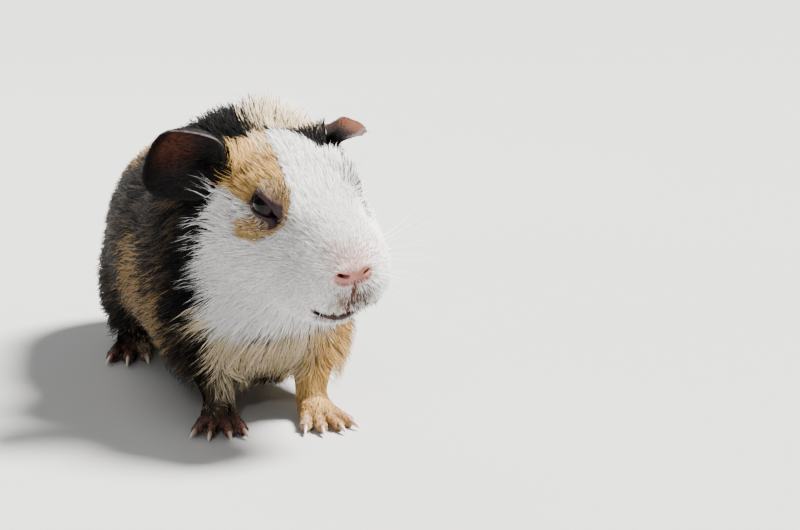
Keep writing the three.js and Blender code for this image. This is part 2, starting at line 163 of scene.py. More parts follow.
def smooth_max(a, b, width):
    return -smooth_min(-a, -b, width)


def step(value, low, high):
    """0 below low, 1 above high, smooth between; low may be the larger."""
    share = np.clip((value - low) / (high - low), 0, 1)
    return share * share * (3 - 2 * share)


def norm(v):
    return np.sqrt(np.einsum("...i,...i->...", v, v))


HEAD_TURN = (turn("Z", HEAD["yaw"]) @ np.array([[0, 1, 0], [-1, 0, 0], [0, 0, 1.0]])
             @ turn("Y", HEAD["pitch"]) @ turn("X", HEAD["roll"]))
HEAD_CENTRE = np.array(HEAD["centre"], float)


def to_head(p):
    """Places in the head's frame."""
    return (p - HEAD_CENTRE) @ HEAD_TURN


def from_head(h):
    return np.asarray(h, float) @ HEAD_TURN.T + HEAD_CENTRE


def make_waves(count, size):
    """Random plane waves about size mm long; their sum is a smooth noise of about unit spread."""
    directions = unit(RANDOM.normal(size=(count, 3)))
    lengths = size * RANDOM.uniform(0.6, 1.5, count)
    return directions * (2 * math.pi / lengths)[:, None], RANDOM.uniform(0, 2 * math.pi, count)


def noise(p, waves):
    vectors, phases = waves
    return np.sin(p @ vectors.T + phases).sum(1) * math.sqrt(2 / len(phases))


# ------------------------------------------------------------------ the shape as a level function
def ellipsoid_level(q, radii):
    radii = np.array(radii, q.dtype)
    scaled = q / radii
    a = norm(scaled)
    b = norm(scaled / radii)
    return a * (a - 1) / np.maximum(b, 1e-6)


def limb_level(p, start, end, start_radius, end_radius):
    start, end = np.asarray(start, float), np.asarray(end, float)
    span = end - start
    share = np.clip((p - start) @ span / (span @ span), 0, 1)
    return norm(p - start - share[:, None] * span) - (start_radius + (end_radius - start_radius) * share)


def outline_level(p, h):
    """The solids' own smooth outline of trunk and head, at the tips of the coat."""
    level = None
    for q, masses in ((p, TRUNK_MASSES), (h, HEAD_MASSES)):
        for centre, radii, blend in masses:
            one = ellipsoid_level(q - np.array(centre, q.dtype), radii)
            level = one if level is None else smooth_min(level, one, blend)
    return level


def coat_depth(p, h):
    """How deep the skin lies under the outline."""
    depth = np.interp(h[:, 0], [-48, -30, -15, 0, 14, 26, 34], [5.0, 4.2, 3.0, 2.0, 1.5, 1.0, 0.5])
    jowl = step(h[:, 2], -12, -34) * step(h[:, 0], 22, 0) * step(h[:, 0], -60, -30)
    nape = step(p[:, 2], 88, 100) * step(p[:, 1], -5, -30) * step(h[:, 0], -26, -40)
    return depth + 2.0 * jowl + 1.5 * nape - 1.2 * step(p[:, 2], 22, 10) * step(h[:, 0], -40, -60)


def foot_axes(foot, side):
    """A foot's heel, and the matrix whose columns are its own axes: outward, forward and up."""
    origin = np.array([foot["middle"] + side * foot["heel"][0], foot["heel"][1], 0.0])
    axes = turn("Z", side * foot["toe_out"]) @ np.diag([side, -1.0, 1.0])
    return origin, axes


def toe_span(foot, toe):
    """A toe's root, tip and direction, in its foot's own axes."""
    across, length = toe
    angle = math.radians(across * foot["fan"])
    along = np.array([math.sin(angle), math.cos(angle), 0.0])
    root = np.array([across, foot["length"] - 2, foot["toe_radius"] + 0.6])
    tip = root + along * length
    tip[2] = foot["toe_radius"] - 0.3
    return root, tip, along


FOOT_INSET = 0.3  # how far a foot's skin lies inside the solid


def foot_level(p, foot, side):
    origin, axes = foot_axes(foot, side)
    q = (p - origin) @ axes
    length, height = foot["length"], foot["height"]
    radii = [foot["half_width"] - FOOT_INSET, length / 2 + 2.5 - FOOT_INSET, height * 0.58 - FOOT_INSET]
    level = ellipsoid_level(q - np.array([0, length / 2, height * 0.42]), radii)
    radius = foot["toe_radius"]
    toes = None
    for toe in foot["toes"]:
        root, tip, _ = toe_span(foot, toe)
        knuckle = root + (tip - root) * 0.55 + np.array([0, 0, 0.5])
        one = limb_level(q, root, knuckle, radius + 0.1, radius - 0.7)
        one = smooth_min(one, limb_level(q, knuckle, tip, radius - 0.7, radius - FOOT_INSET), 0.8)
        toes = one if toes is None else smooth_min(toes, one, 0.5)
    level = smooth_min(level, toes, 1.6)
    return smooth_max(level, 0.05 - q[:, 2], 0.3)


def ear_frame(name):
    """The ear's middle, and the matrix whose columns are its half width, half height and facing."""
    side = SIDES[name]
    sweep, droop = math.radians(EAR[name]["sweep"]), math.radians(EAR[name]["droop"])
    lean = math.radians(EAR[name]["lean"])
    outward = np.array([-math.sin(sweep) * math.cos(droop), side * math.cos(sweep) * math.cos(droop),
                        -math.sin(droop)])
    upward = np.array([math.sin(lean), 0, math.cos(lean)])
    facing = unit(np.cross(outward, upward)) * side
    at = EAR["at"]
    middle = np.array([at[0], side * at[1], at[2] + EAR[name]["raise"]]) + outward * EAR["reach"]
    return middle, np.stack([outward * EAR["half_width"], upward * EAR["half_height"], facing], 1)


EAR_FRAMES = {name: ear_frame(name) for name in SIDES}


def ear_place(h, name):
    """Place on the ear: out and up as shares of its half sizes, height over its dish, share to the rim."""
    middle, axes = EAR_FRAMES[name]
    q = (h - middle) @ np.linalg.inv(axes).T
    out, up = q[:, 0], q[:, 1]
    power = EAR["squareness"]
    width = np.where(out > 0, 1 + EAR[name]["taper"] * (np.clip(up, -1.3, 1.3) - EAR[name]["full"]), 1)
    rim = (np.abs(out / width) ** power + np.abs(up) ** power) ** (1 / power)
    curled = np.clip((up - EAR["curl_starts"]) / (1 - EAR["curl_starts"]), 0, 1.2)
    dish = EAR["cup"] * np.minimum(out * out + up * up, 2) + EAR["curl_depth"] * curled ** 2
    ripple = 0.7 * np.sin(5.5 * up + 1.5 * out) * step(rim, 1.0, 0.55) * step(out, -0.9, -0.2)
    helix = 1.3 * step(rim, 0.74, 0.98)
    return out, up, q[:, 2] - dish - ripple - helix, rim


def ear_level(h, name, extra=0.0):
    _, _, height, rim = ear_place(h, name)
    half = np.interp(rim, [0, 0.6, 0.9, 1], [0.95, 0.65, 0.55, 0.62]) + extra
    return smooth_max(np.abs(height) - half, (rim - 1.0) * EAR["half_width"] - extra, 0.7)


def eye_frame(name):
    """Eyeball centre and its axes in the head's frame: ahead, up and along its look."""
    low, high = (np.array(corner) * 1000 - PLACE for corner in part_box(f"eye_{name}"))
    centre = to_head((low + high) / 2)
    side = SIDES[name]
    looks = unit([EYE["looks"][0], side * EYE["looks"][1], EYE["looks"][2]])
    slant = np.array(EYE["slant"])
    ahead = unit(slant - looks * (looks @ slant))
    up = np.cross(looks, ahead) * -side
    return centre, ahead, up, looks


EYES = {name: eye_frame(name) for name in SIDES}
BEHIND_EYE = 6.0  # stands for the distance from the opening behind the eyeball's middle


def eye_place(h, name):
    """Distance from the eyeball's centre, places ahead and up on it, and distance from its opening."""
    centre, ahead, up, looks = EYES[name]
    q = h - centre
    distance = norm(q)
    scale = EYE["radius"] / np.maximum(distance, 1e-3)
    x, y, z = q @ ahead * scale, q @ up * scale, q @ looks
    opening = np.hypot(x / OPENING[0], y / OPENING[1]) - 1
    (cx, cy), (rx, ry) = CANTHUS
    corner = np.hypot((x - cx) / rx, (y - cy) / ry) - 1
    edge = smooth_min(opening * OPENING[1], corner * ry, 0.8)
    return distance, x, y, np.where(z > 0, edge, BEHIND_EYE)


def add_lids(level, h, name):
    """Lids: a thin shell over the eyeball, open in front, and the head cleared before the opening."""
    distance, _, _, edge = eye_place(h, name)
    shell = np.abs(distance - EYE["radius"] - LID_THICKNESS / 2 - LID_GAP) - LID_THICKNESS / 2
    lids = smooth_max(shell, -edge, 0.7)
    fold = LID_FOLD["height"] * np.exp(-((edge - LID_FOLD["edge"]) / LID_FOLD["width"]) ** 2)
    level = smooth_min(level + fold, lids, 1.2)
    hole = np.maximum.reduce([edge, EYE["radius"] - 0.5 - distance, distance - OPENING_REACH])
    return smooth_max(level, -hole, 0.5)


def mouth_height(h):
    """Height over the mouth's line."""
    rise = MOUTH["rise"] * np.maximum(MOUTH["front"] - h[:, 0], 0) + MOUTH["arch"] * h[:, 1] ** 2
    return h[:, 2] - MOUTH["level"] - rise


def lower_lip_share(h):
    """From 0 on the mouth's line to 1 at the lower edge of the dark lower lip, and where that counts."""
    reach = 0.8 + 3.4 * step(np.abs(h[:, 1]), 13, 6)
    return -mouth_height(h) / reach, (h[:, 0] > 16) & (np.abs(h[:, 1]) < 13) & (h[:, 2] < -15)


def mirrored(h):
    """Head places with those of the right half brought over to the left."""
    return h * np.array([1, 0, 1]) + np.abs(h) * np.array([0, 1, 0])


def add_nose_and_mouth(level, h, outline):
    m = mirrored(h)
    for centre, radii, blend in NOSE_MASSES:
        level = smooth_min(level, ellipsoid_level(m - centre, radii), blend)
    tilt = turn("X", NOSTRIL["tilt"])
    nostril = ellipsoid_level(m @ tilt - tilt.T @ np.array(NOSTRIL["at"]), NOSTRIL["radii"])
    level = smooth_max(level, -nostril, 0.4)
    x, z, across = h[:, 0], h[:, 2], np.abs(h[:, 1])
    groove = across - CLEFT["half_width"] + CLEFT["flare"] * np.maximum(-(outline + 0.4), 0)
    groove = np.maximum.reduce([groove, z - CLEFT["top"], MOUTH["level"] - z, CLEFT["back"] - x,
                                -(outline + CLEFT["depth"])])
    level = smooth_max(level, -groove, 0.9)
    parted = 0.5 + 0.9 * step(across, 5, 9) * step(across, 13.5, 11.5)
    gap = np.abs(mouth_height(h) + MOUTH_DROP) - parted
    gap = np.maximum.reduce([gap, MOUTH["back"] - x, across - MOUTH["corner"],
                             -(outline + MOUTH["depth"])])
    return smooth_max(level, -gap, 0.7)


LEG_INSET = (2.0, 1.6)  # how far a leg's skin lies inside the solid at the elbow and the wrist


def leg_level(p, side):
    elbow, wrist = ([FORE_MIDDLE + side * x, y, z] for x, y, z in (FORELEG["elbow"], FORELEG["wrist"]))
    return limb_level(p, elbow, wrist, FORELEG["elbow_radius"] - LEG_INSET[0],
                      FORELEG["wrist_radius"] - LEG_INSET[1])


def skin_level(p, ear_extra=0.0):
    """The whole skin, with its ears thicker by twice the extra."""
    h = to_head(p)
    outline = outline_level(p, h)
    level = outline + coat_depth(p, h)
    for name, side in SIDES.items():
        leg = smooth_min(leg_level(p, side), foot_level(p, FOREFOOT, side), 3)
        level = smooth_min(level, leg, 7)
        level = smooth_min(level, foot_level(p, HIND_FOOT, side), 3)
        level = smooth_min(level, ear_level(h, name, ear_extra), 3.5)
        level = add_lids(level, h, name)
    return add_nose_and_mouth(level, h, outline)


CHUNK = 60000  # points worked on at once
EAR_EXTRA = 0.5  # how much further out the ears' faces lie while they are meshed, for the grid's sake


def in_chunks(function, *arrays):
    """A function's rows for arrays too long to work on at once."""
    parts = [function(*(array[i:i + CHUNK] for array in arrays)) for i in range(0, len(arrays[0]), CHUNK)]
    return np.concatenate(parts)


def level_at(points):
    return in_chunks(skin_level, points)


def thick_level_at(points):
    return in_chunks(lambda part: skin_level(part, EAR_EXTRA), points)


def gradient_at(points, reach=0.15):
    """Level and its gradient, from four points round each."""
    corners = np.array([[1, 1, 1], [1, -1, -1], [-1, 1, -1], [-1, -1, 1.0]])
    values = [level_at(points + reach * corner) for corner in corners]
    gradient = sum(value[:, None] * corner for value, corner in zip(values, corners)) / (4 * reach)
    return sum(values) / 4, gradient


def pull_to_skin(points, rounds=3, limit=0.8):
    """Points moved along the gradient onto the skin."""
    for _ in range(rounds):
        level, gradient = gradient_at(points)
        size = np.maximum(norm(gradient), 0.25)
        move = np.clip(-level / size, -limit, limit)
        points = points + (gradient / size[:, None]) * move[:, None]
    return points


# ------------------------------------------------------------------ the skin's mesh
VOXEL = 0.85  # mm
COARSE = 4  # voxels to a step of the first, coarse grid
MARGIN = 6  # voxels round the solids' box


def skin_mesh():
    """Vertices (mm) and quads of the whole skin."""
    low, high = BOX_LOW - MARGIN * VOXEL, BOX_HIGH + MARGIN * VOXEL
    counts = (np.ceil((high - low) / (VOXEL * COARSE)).astype(int) + 1) * COARSE
    coarse_axes = [low[k] + VOXEL * COARSE * (np.arange(counts[k] // COARSE) + 0.375) for k in range(3)]
    coarse = np.stack(np.meshgrid(*coarse_axes, indexing="ij"), -1).reshape(-1, 3)
    values = thick_level_at(coarse).reshape([n // COARSE for n in counts])
    for axis in range(3):
        values = np.repeat(values, COARSE, axis=axis)
    near = np.abs(values) < 2.2 * VOXEL * COARSE
    index = np.argwhere(near)
    values[near] = thick_level_at(low + VOXEL * index)
    grid = openvdb.FloatGrid()
    grid.copyFromArray(values.astype(np.float32))
    points, quads = grid.convertToQuads(isovalue=0.0)
    return low + VOXEL * points.astype(float), quads.astype(int)


def mesh_object(name, vertices, faces, corners):
    """An object from arrays: vertices in mm, faces as rows of indices with that many corners each."""
    mesh = bpy.data.meshes.new(name)
    faces = np.asarray(faces)
    mesh.vertices.add(len(vertices))
    mesh.vertices.foreach_set("co", ((vertices + PLACE) / 1000).astype(np.float32).ravel())
    mesh.loops.add(faces.size)
    mesh.loops.foreach_set("vertex_index", faces.astype(np.int32).ravel())
    mesh.polygons.add(len(faces))
    mesh.polygons.foreach_set("loop_start", np.arange(0, faces.size, corners, dtype=np.int32))
    mesh.polygons.foreach_set("use_smooth", np.ones(len(faces), bool))
    mesh.update(calc_edges=True)
    mesh.validate()
    thing = bpy.data.objects.new(name, mesh)
    bpy.context.scene.collection.objects.link(thing)
    return thing


def paint_points(mesh, colours):
    """Stores each vertex's colour in the attribute that the materials read."""
    layer = mesh.color_attributes.new("coat", "FLOAT_COLOR", "POINT")
    rgba = np.c_[np.clip(colours, 0, 1), np.ones(len(colours))]
    layer.data.foreach_set("color", rgba.astype(np.float32).ravel())


def finish_piece(thing, colours, material):
    paint_points(thing.data, colours)
    thing.data.materials.append(material)
    return thing


# ------------------------------------------------------------------ regions and unwrap
def region_at(p):
    """0 trunk and head, 1 and 2 right and left ear, 3 and 4 fore legs, 5 and 6 hind feet."""
    h = to_head(p)
    outline = outline_level(p, h) + coat_depth(p, h)
    levels = [outline] + [ear_level(h, name) + 0.4 for name in SIDES]
    for side in SIDES.values():
        levels.append(np.minimum(leg_level(p, side), foot_level(p, FOREFOOT, side)) + 0.6)
    levels += [foot_level(p, HIND_FOOT, side) + 0.3 for side in SIDES.values()]
    return np.argmin(levels, axis=0)


def on_ears(region):
    return (region == 1) | (region == 2)


def on_feet(region):
    return region >= 3


def spine_samples(count=120):
    """Points along the spine, evenly spaced, with their distance along it, right and up."""
    points = np.array(SPINE + [from_head(q) for q in SPINE_IN_HEAD], float)
    knots = np.concatenate([[0], np.cumsum(norm(np.diff(points, axis=0)))])
    fine = np.linspace(0, knots[-1], count)
    line = np.stack([np.interp(fine, knots, points[:, k]) for k in range(3)], 1)
    for _ in range(40):
        line[1:-1] = (line[:-2] + 2 * line[1:-1] + line[2:]) / 4
    along = np.concatenate([[0], np.cumsum(norm(np.diff(line, axis=0)))])
    forward = unit(np.gradient(line, axis=0))
    right = unit(np.cross(forward, [0, 0, 1.0]))
    return line, along, forward, right, np.cross(right, forward)


SPINE_LINE = spine_samples()
SPINE_LENGTH = SPINE_LINE[1][-1]
END_RADIUS = 30.0  # how far the unwrap reaches past each end of the spine
HEAD_STARTS = 130.0  # distance along the spine from which the unwrap is wider
HEAD_WIDENING = 2.2
BODY_SHARE = 0.77  # of the unit square's width, for trunk and head
EAR_ISLAND = (0.845, 0.12)  # the middle of the first ear's front on the unwrap
FOOT_ISLAND = (0.80, 0.5)  # the corner of the first foot's


def spine_place(p):
    """Distance along the spine, past its ends too, and the angle round it."""
    line, along, forward, right, up = SPINE_LINE
    distance = (p * p).sum(1)[:, None] - 2 * p @ line.T + (line * line).sum(1)
    k = np.argmin(distance, axis=1)
    q = p - line[k]
    ahead, rightward, upward = ((q * axes[k]).sum(1) for axes in (forward, right, up))
    lean = np.arctan2(ahead, np.hypot(rightward, upward)) / (math.pi / 2)
    at_end = (k == 0) | (k == len(line) - 1)
    s = along[k] + np.where(at_end, lean * END_RADIUS, 0)
    return s, np.arctan2(upward, rightward)


def unwrap(p, island):
    """A place in the unit square for points on the skin: trunk and head over most of it, ears and feet
    on a strip beside it. The head takes a wider share."""
    s, angle = spine_place(p)
    s = s + END_RADIUS
    start = HEAD_STARTS + END_RADIUS
    wide = s + (HEAD_WIDENING - 1) * np.maximum(s - start, 0)
    full = SPINE_LENGTH + 2 * END_RADIUS
    full += (HEAD_WIDENING - 1) * (full - start)
    uv = np.stack([0.01 + BODY_SHARE * wide / full, 0.015 + 0.95 * (angle / (2 * math.pi) + 0.5)], 1)
    h = to_head(p)
    for k, name in enumerate(SIDES):
        on = island == 1 + k
        if on.any():
            out, up, height, _ = ear_place(h[on], name)
            back = 0.1 * (height < 0)
            uv[on] = np.stack([EAR_ISLAND[0] + 0.042 * np.clip(out, -1.1, 1.1) + back,
                               EAR_ISLAND[1] + 0.22 * k + 0.09 * np.clip(up, -1.1, 1.1)], 1)
    for k, (foot, side) in enumerate(((FOREFOOT, -1), (FOREFOOT, 1), (HIND_FOOT, -1), (HIND_FOOT, 1))):
        on = island == 3 + k
        if on.any():
            origin, axes = foot_axes(foot, side)
            q = (p[on] - origin) @ axes
            angle = np.arctan2(q[:, 0], q[:, 2] - 3) / (2 * math.pi) + 0.5
            uv[on] = np.stack([FOOT_ISLAND[0] + 0.045 * k + 0.042 * angle,
                               FOOT_ISLAND[1] + 0.45 * np.clip((q[:, 1] + 20) / 75, 0, 1)], 1)
    return uv


# ------------------------------------------------------------------ markings
def paint(*rgb):
    """Linear colour from 0 to 255 values."""
    c = np.array(rgb, float) / 255
    return np.where(c <= 0.04045, c / 12.92, ((c + 0.055) / 1.055) ** 2.4)


WHITE, CREAM, TAN = paint(252, 251, 249), paint(232, 212, 176), paint(207, 168, 104)
GOLD, BROWN, BLACK = paint(172, 142, 98), paint(88, 74, 58), paint(8, 7, 7)
SKIN_PINK, LID, LIP = paint(168, 114, 106), paint(54, 42, 46), paint(84, 56, 48)
NOSE_BROWN, BLUSH, LIP_SHADE = paint(132, 86, 68), paint(205, 162, 154), paint(150, 122, 106)
# The second colour is painted light shining red-brown through the thin ear.
EAR_DARK, EAR_THIN_GLOW, SOLE = paint(8, 6, 6), paint(70, 36, 24), paint(140, 104, 90)
# Painted light: an orange glow through the far ear, and a painted highlight on the ears' rims.
EAR_ORANGE_GLOW, EAR_RIM_HIGHLIGHT = paint(76, 40, 20), paint(84, 70, 70)
# The first colour is the nostrils' red lining darkened with painted shade in their hollows; darker still,
# it is painted shade inside the mouth.
NOSTRIL_RED_AND_SHADE, PHILTRUM, LOWER_LIP = paint(64, 12, 14), paint(84, 54, 44), paint(34, 20, 14)
# The first colour is painted shade on the underside of the nose, which the light from above doesn't reach.
NOSE_UNDERSIDE_SHADE, LID_HAIR = paint(104, 66, 62), paint(128, 114, 102)

EDGE_WAVES = make_waves(14, 9.0)
BRINDLE_WAVES = make_waves(18, 7.0)
PATCH_WAVES = make_waves(14, 26.0)

# Head-frame lines between the colours: x forward, and y or z where the line runs.
BLAZE_NEAR = ([-34, -30, -18, -9, -0.6, 6.2, 10.8, 13], [0.5, -1.2, -5, -6.7, -8.6, -10.1, -11, -12.8])
BLAZE_FAR = ([-31, -27.4, -22.3, -17.5, -12, -4.6, 3.5, 9, 14], [-1, 2, 5.2, 8.3, 12, 18, 26, 30, 30])
TAN_BACK = ([-20, -17.9, -14.9, -10.4, -2], [-19.8, -23.5, -26.7, -28.4, -38])
CHEEK_BACK = ([-60, -52, -45, -39, -30, -23, -7, 5], [-10, -12.6, -15.8, -20, -24.5, -26, -26.5, -24])

# Patches of the trunk: centre, radii, colour and how much of it is dark hair.
PATCHES = [
    ([-12, 76, 84], [24, 28, 22], "gold", 0.25),
    ([-38, -10, 28], [18, 33, 22], "gold", 0.35),
    ([36, 92, 52], [25, 30, 36], "white", 0.03),
    ([44, 8, 62], [14, 24, 24], "tan", 0.15),
    ([28, -38, 104], [24, 20, 17], "cream", 0.12),
    ([28, -56, 26], [18, 22, 32], "tan", 0.15),
    ([24, -66, 4], [15, 18, 14], "tan", 0.15),
    ([6, -66, 30], [20, 18, 25], "cream", 0.05),
    ([5, 20, 2], [34, 80, 11], "cream", 0.1),
]
PAINTS = {"gold": GOLD, "white": WHITE, "tan": TAN, "cream": CREAM}
PATCH_WARP = 0.13  # how far the patches' edges wander, as a share of their radii
WOBBLE = 0.6  # mm, how far the edges on the head wander
# More head-frame places: the white's edges, the crescent's middle line, and centres with radii.
WHITE_EDGES = {"blaze_back": -33.5, "front_back": 13.2, "near_top": 5.4, "far_top": -1, "far_back": -20,
               "bottom": -45.5}
CRESCENT = {"middle": 2.0, "level": 0.4, "slope": 0.3, "half_height": 4.0, "half_length": 9.8}
BLUSH_SPOT = ([35, 0, -2], [9, 8, 7])
LIP_SPOT = ([32, 3, -16.5], [6, 5, 6])
NOSE_PAD = ([34.3, 2.6, -6.8], [3.3, 4.7, 3.4])
NOSTRIL_SPOT = ([34.2, 4.0, -5.9], [2.6, 2.2, 1.0])


def between(value, edge, soft):
    """1 where value is past edge, soft to both sides of it."""
    return step(value - edge, -soft, soft)


def blob(h, centre, radii):
    """1 at the centre, fading over the radii."""
    return np.exp(-(((h - centre) / radii) ** 2).sum(1))


def trunk_layers(p, shown):
    """Brindle over the black, then the patches where the trunk shows."""
    brindle = noise(p, BRINDLE_WAVES)
    layers = [(step(brindle, -0.5, 1.3) * (0.08 + 0.6 * step(p[:, 2], 88, 72)), BROWN)]
    warp = noise(p, PATCH_WAVES) * PATCH_WARP
    for centre, radii, name, dark in PATCHES:
        level = norm((p - centre) / radii) + warp - 1
        layers.append((step(level, 0.3, -0.2) * shown * (1 - dark), PAINTS[name]))
    return layers


def head_layers(h, on_head, wobble):
    """Tan round the near eye, white over blaze, front and cheeks, and the crescent under the eye."""
    x, y, z = h.T
    near = step(y, 1, -1)
    past_blaze = between(np.interp(x, *BLAZE_NEAR) - y, wobble * 0.5, 0.9)
    tan = near * past_blaze * between(x, np.interp(y, *TAN_BACK) + wobble * 1.5, 2.6) * between(z, 4.6, 0.8)
    tan = tan * step(x, 14.5, 12.5)
    streak = np.exp(-((y + 5.0 + 0.22 * (x + 28)) / 3.4) ** 2) * step(x, -10, -20) * step(z, 6, 10)
    far_line = between(np.interp(x, *BLAZE_FAR) + wobble * 0.6, y, 0.9)
    blaze = (1 - past_blaze * near) * far_line * between(x, WHITE_EDGES["blaze_back"] + wobble, 1.5)
    blaze = blaze * step(z, 2, 5)
    front = between(x, WHITE_EDGES["front_back"] + wobble * 0.4, 1.0)
    near_cheek = near * between(WHITE_EDGES["near_top"] + wobble * 0.4, z, 0.9)
    near_cheek = near_cheek * between(x, np.interp(z, *CHEEK_BACK) + wobble, 1.6)
    far_cheek = (1 - near) * between(WHITE_EDGES["far_top"] + wobble * 1.4, z, 1.0)
    far_cheek = far_cheek * between(x, WHITE_EDGES["far_back"] + wobble * 2, 2)
    bottom = between(z, WHITE_EDGES["bottom"] + wobble * 2 - 0.48 * np.maximum(-8 - x, 0), 3.0)
    white = np.maximum.reduce([blaze, front, near_cheek, far_cheek]) * bottom
    rise = z - (CRESCENT["level"] + CRESCENT["slope"] * (x - CRESCENT["middle"]) + wobble * 0.4)
    along = (np.abs(x - CRESCENT["middle"]) / CRESCENT["half_length"]) ** 4
    crescent = near * step(np.abs(rise) / CRESCENT["half_height"] + along, 1.15, 0.8)
    return [(tan * on_head, TAN), (0.75 * streak * tan, CREAM), (white, WHITE), (crescent * 0.9, TAN)]


def face_layers(h):
    """Grey hairs round the lids, the blush over the nose, and the darker hairs of the lips."""
    x, y, z = h.T
    layers = []
    for name in SIDES:
        distance, _, across, edge = eye_place(h, name)
        ring = step(edge, 4.4, 2.4) * step(distance, 11, 9)
        layers.append((ring * (0.45 + 0.3 * step(across, 0, 2)), LID_HAIR))
    layers.append((0.85 * blob(h, *BLUSH_SPOT), BLUSH))
    lips = blob(mirrored(h), *LIP_SPOT)
    layers.append((0.85 * lips, LIP_SHADE))
    layers.append((0.55 * lips * step(y, -0.5, 1), PHILTRUM))
    under = -mouth_height(h)
    lower = step(under, 0.2, 0.8) * step(under, 7.0, 4.4) * step(x, 15, 21) * step(np.abs(y), 13, 9)
    layers.append((0.85 * lower, LOWER_LIP))
    cleft = step(np.abs(y), 2.0, 0.8) * step(z, -9, -12) * step(z, -24.5, -23) * step(x, 22, 26)
    layers.append((0.75 * cleft, PHILTRUM))
    return layers


def layers_at(p):
    """The coat's colours as (share, colour) layers, each over the one before."""
    h = to_head(p)
    x, y, z = h.T
    wobble = noise(h, EDGE_WAVES) * WOBBLE
    forward = x - 12 * step(y, 3, 14)  # the head's colours start further forward on the far side
    on_head = step(forward, -42, -34) * step(z, -50, -43)
    layers = trunk_layers(p, 1 - step(forward, -38, -30) * step(z, -50, -43))
    layers.append((on_head, BLACK))
    layers.append((on_head * step(z, -36, -41) * step(x, -26, -18), CREAM))
    return layers + head_layers(h, on_head, wobble) + face_layers(h)


def coat_colour(p, chance=None):
    """Blended colour at each point, or with chance, one draw per point, the colour that a hair has."""
    colour = np.tile(BLACK, (len(p), 1))
    for share, paint_colour in layers_at(p):
        if chance is not None:
            share = (share > chance).astype(float)
        colour += (paint_colour - colour) * share[:, None]
    return colour


def lid_and_ear_covers(h, region):
    covers = []
    for k, name in enumerate(SIDES):
        distance, _, _, edge = eye_place(h, name)
        covers.append((step(edge, 2.0, 1.15) * step(distance, 10, 8.5), LID))
        out, up, height, rim = ear_place(h, name)
        # Painted light shining through the thin ear: red-brown on the near ear's front, orange over most of
        # the far ear.
        if name == "right":
            painted_glow = step(out, -0.5, 0.5) * step(rim, 0.98, 0.6) * step(up, -0.7, 0.2) * 0.8
            painted_glow, glow_colour = painted_glow * step(height, -0.3, 0.3), EAR_THIN_GLOW
        else:
            painted_glow, glow_colour = step(out, -0.7, 0.1), EAR_ORANGE_GLOW
        on_ear = (region == 1 + k).astype(float)
        covers.append((on_ear, EAR_DARK))
        covers.append((on_ear * painted_glow, glow_colour))
        # painted highlight along the top of the ear's rim
        covers.append((on_ear * step(rim, 0.95, 1.0) * step(up, 0.5, 0.9) * 0.7, EAR_RIM_HIGHLIGHT))
    return covers


def nose_and_mouth_covers(p, h, region):
    x, y, z = h.T
    m = mirrored(h)
    nose = step(ellipsoid_level(m - NOSE_PAD[0], NOSE_PAD[1]), 1.0, -0.7)
    nostril = step(ellipsoid_level(m - NOSTRIL_SPOT[0], NOSTRIL_SPOT[1]), 0.1, -0.5)
    from_gap = np.abs(mouth_height(h) + MOUTH_DROP)
    gap = step(from_gap, 2.2, 1.2) * step(x, 17, 19) * step(np.abs(y), 14, 12)
    share, counts = lower_lip_share(h)
    lip = step(share, -0.1, 0.1) * step(share, 1.25, 0.85) * counts
    # Deep in the mouth's gap, for the painted shade inside the mouth.
    inside = (from_gap < 1.5) * step(outline_level(p, h), -1.4, -2.2) * step(x, 17, 18)
    cleft = step(np.abs(y), 1.2, 0.4) * step(z, -8.5, -9.5) * step(z, -24, -23) * step(x, 24, 27)
    flesh = region == 0
    return [
        (nose, SKIN_PINK),
        (nose * step(y, -2.5, 1.0) * 0.75, NOSE_BROWN),
        # painted shade on the nose's underside
        (nose * step(z, -7.0, -9.2) * 0.8, NOSE_UNDERSIDE_SHADE),
        # the nostrils: red lining with painted shade in the hollow
        (nostril, NOSTRIL_RED_AND_SHADE),
        (gap * flesh, LIP),
        (lip * flesh, LOWER_LIP),
        # painted shade inside the mouth's gap
        (inside * flesh, NOSTRIL_RED_AND_SHADE * 0.4),
        (cleft, PHILTRUM),
    ]


def bare_amounts(p):
    """How bare the skin is and its colour: lids, nose, lips, ears and feet, with painted shade under the
    nose, in the nostrils and inside the mouth, painted light through the ears and a painted highlight on
    their rims.
    """
    h, region = to_head(p), region_at(p)
    covers = lid_and_ear_covers(h, region) + nose_and_mouth_covers(p, h, region)
    covers.append((on_feet(region) * step(p[:, 2], 5.5, 3.5) * 0.8, SOLE))
    bare = np.zeros(len(p))
    colour = np.tile(SKIN_PINK, (len(p), 1))
    for share, rgb in covers:
        colour = colour + (rgb - colour) * share[:, None]
        bare = np.maximum(bare, share)
    return bare, colour


# ------------------------------------------------------------------ the lie of the coat
HEAD_PLACES = [-50, -34, -18, -4, 10, 20, 28, 36]  # head X, from the trunk to the nose, for the rows below
LENGTH = [17, 13, 8.5, 6.3, 5.4, 4.2, 2.8, 1.6]
DENSITY = [1.35, 1.8, 2.8, 3.8, 4.4, 5.5, 7.0, 8.0]  # tufts to a square millimetre
EAR_DENSITY, FOOT_DENSITY = 1.3, 4.2
WIDTH = [0.42, 0.35, 0.27, 0.23, 0.20, 0.17, 0.145, 0.13]
SPREAD = [0.20, 0.18, 0.13, 0.09, 0.08, 0.08, 0.10, 0.13]  # how far a tuft strays from the lie
NOSE = np.array([40.0, 0, -6])
LIE_WAVES = [make_waves(16, 11.0) for _ in range(3)]
CLUMP_WAVES = [make_waves(20, 4.0) for _ in range(3)]


def along_head(p, values):
    return np.interp(to_head(p)[:, 0], HEAD_PLACES, values)


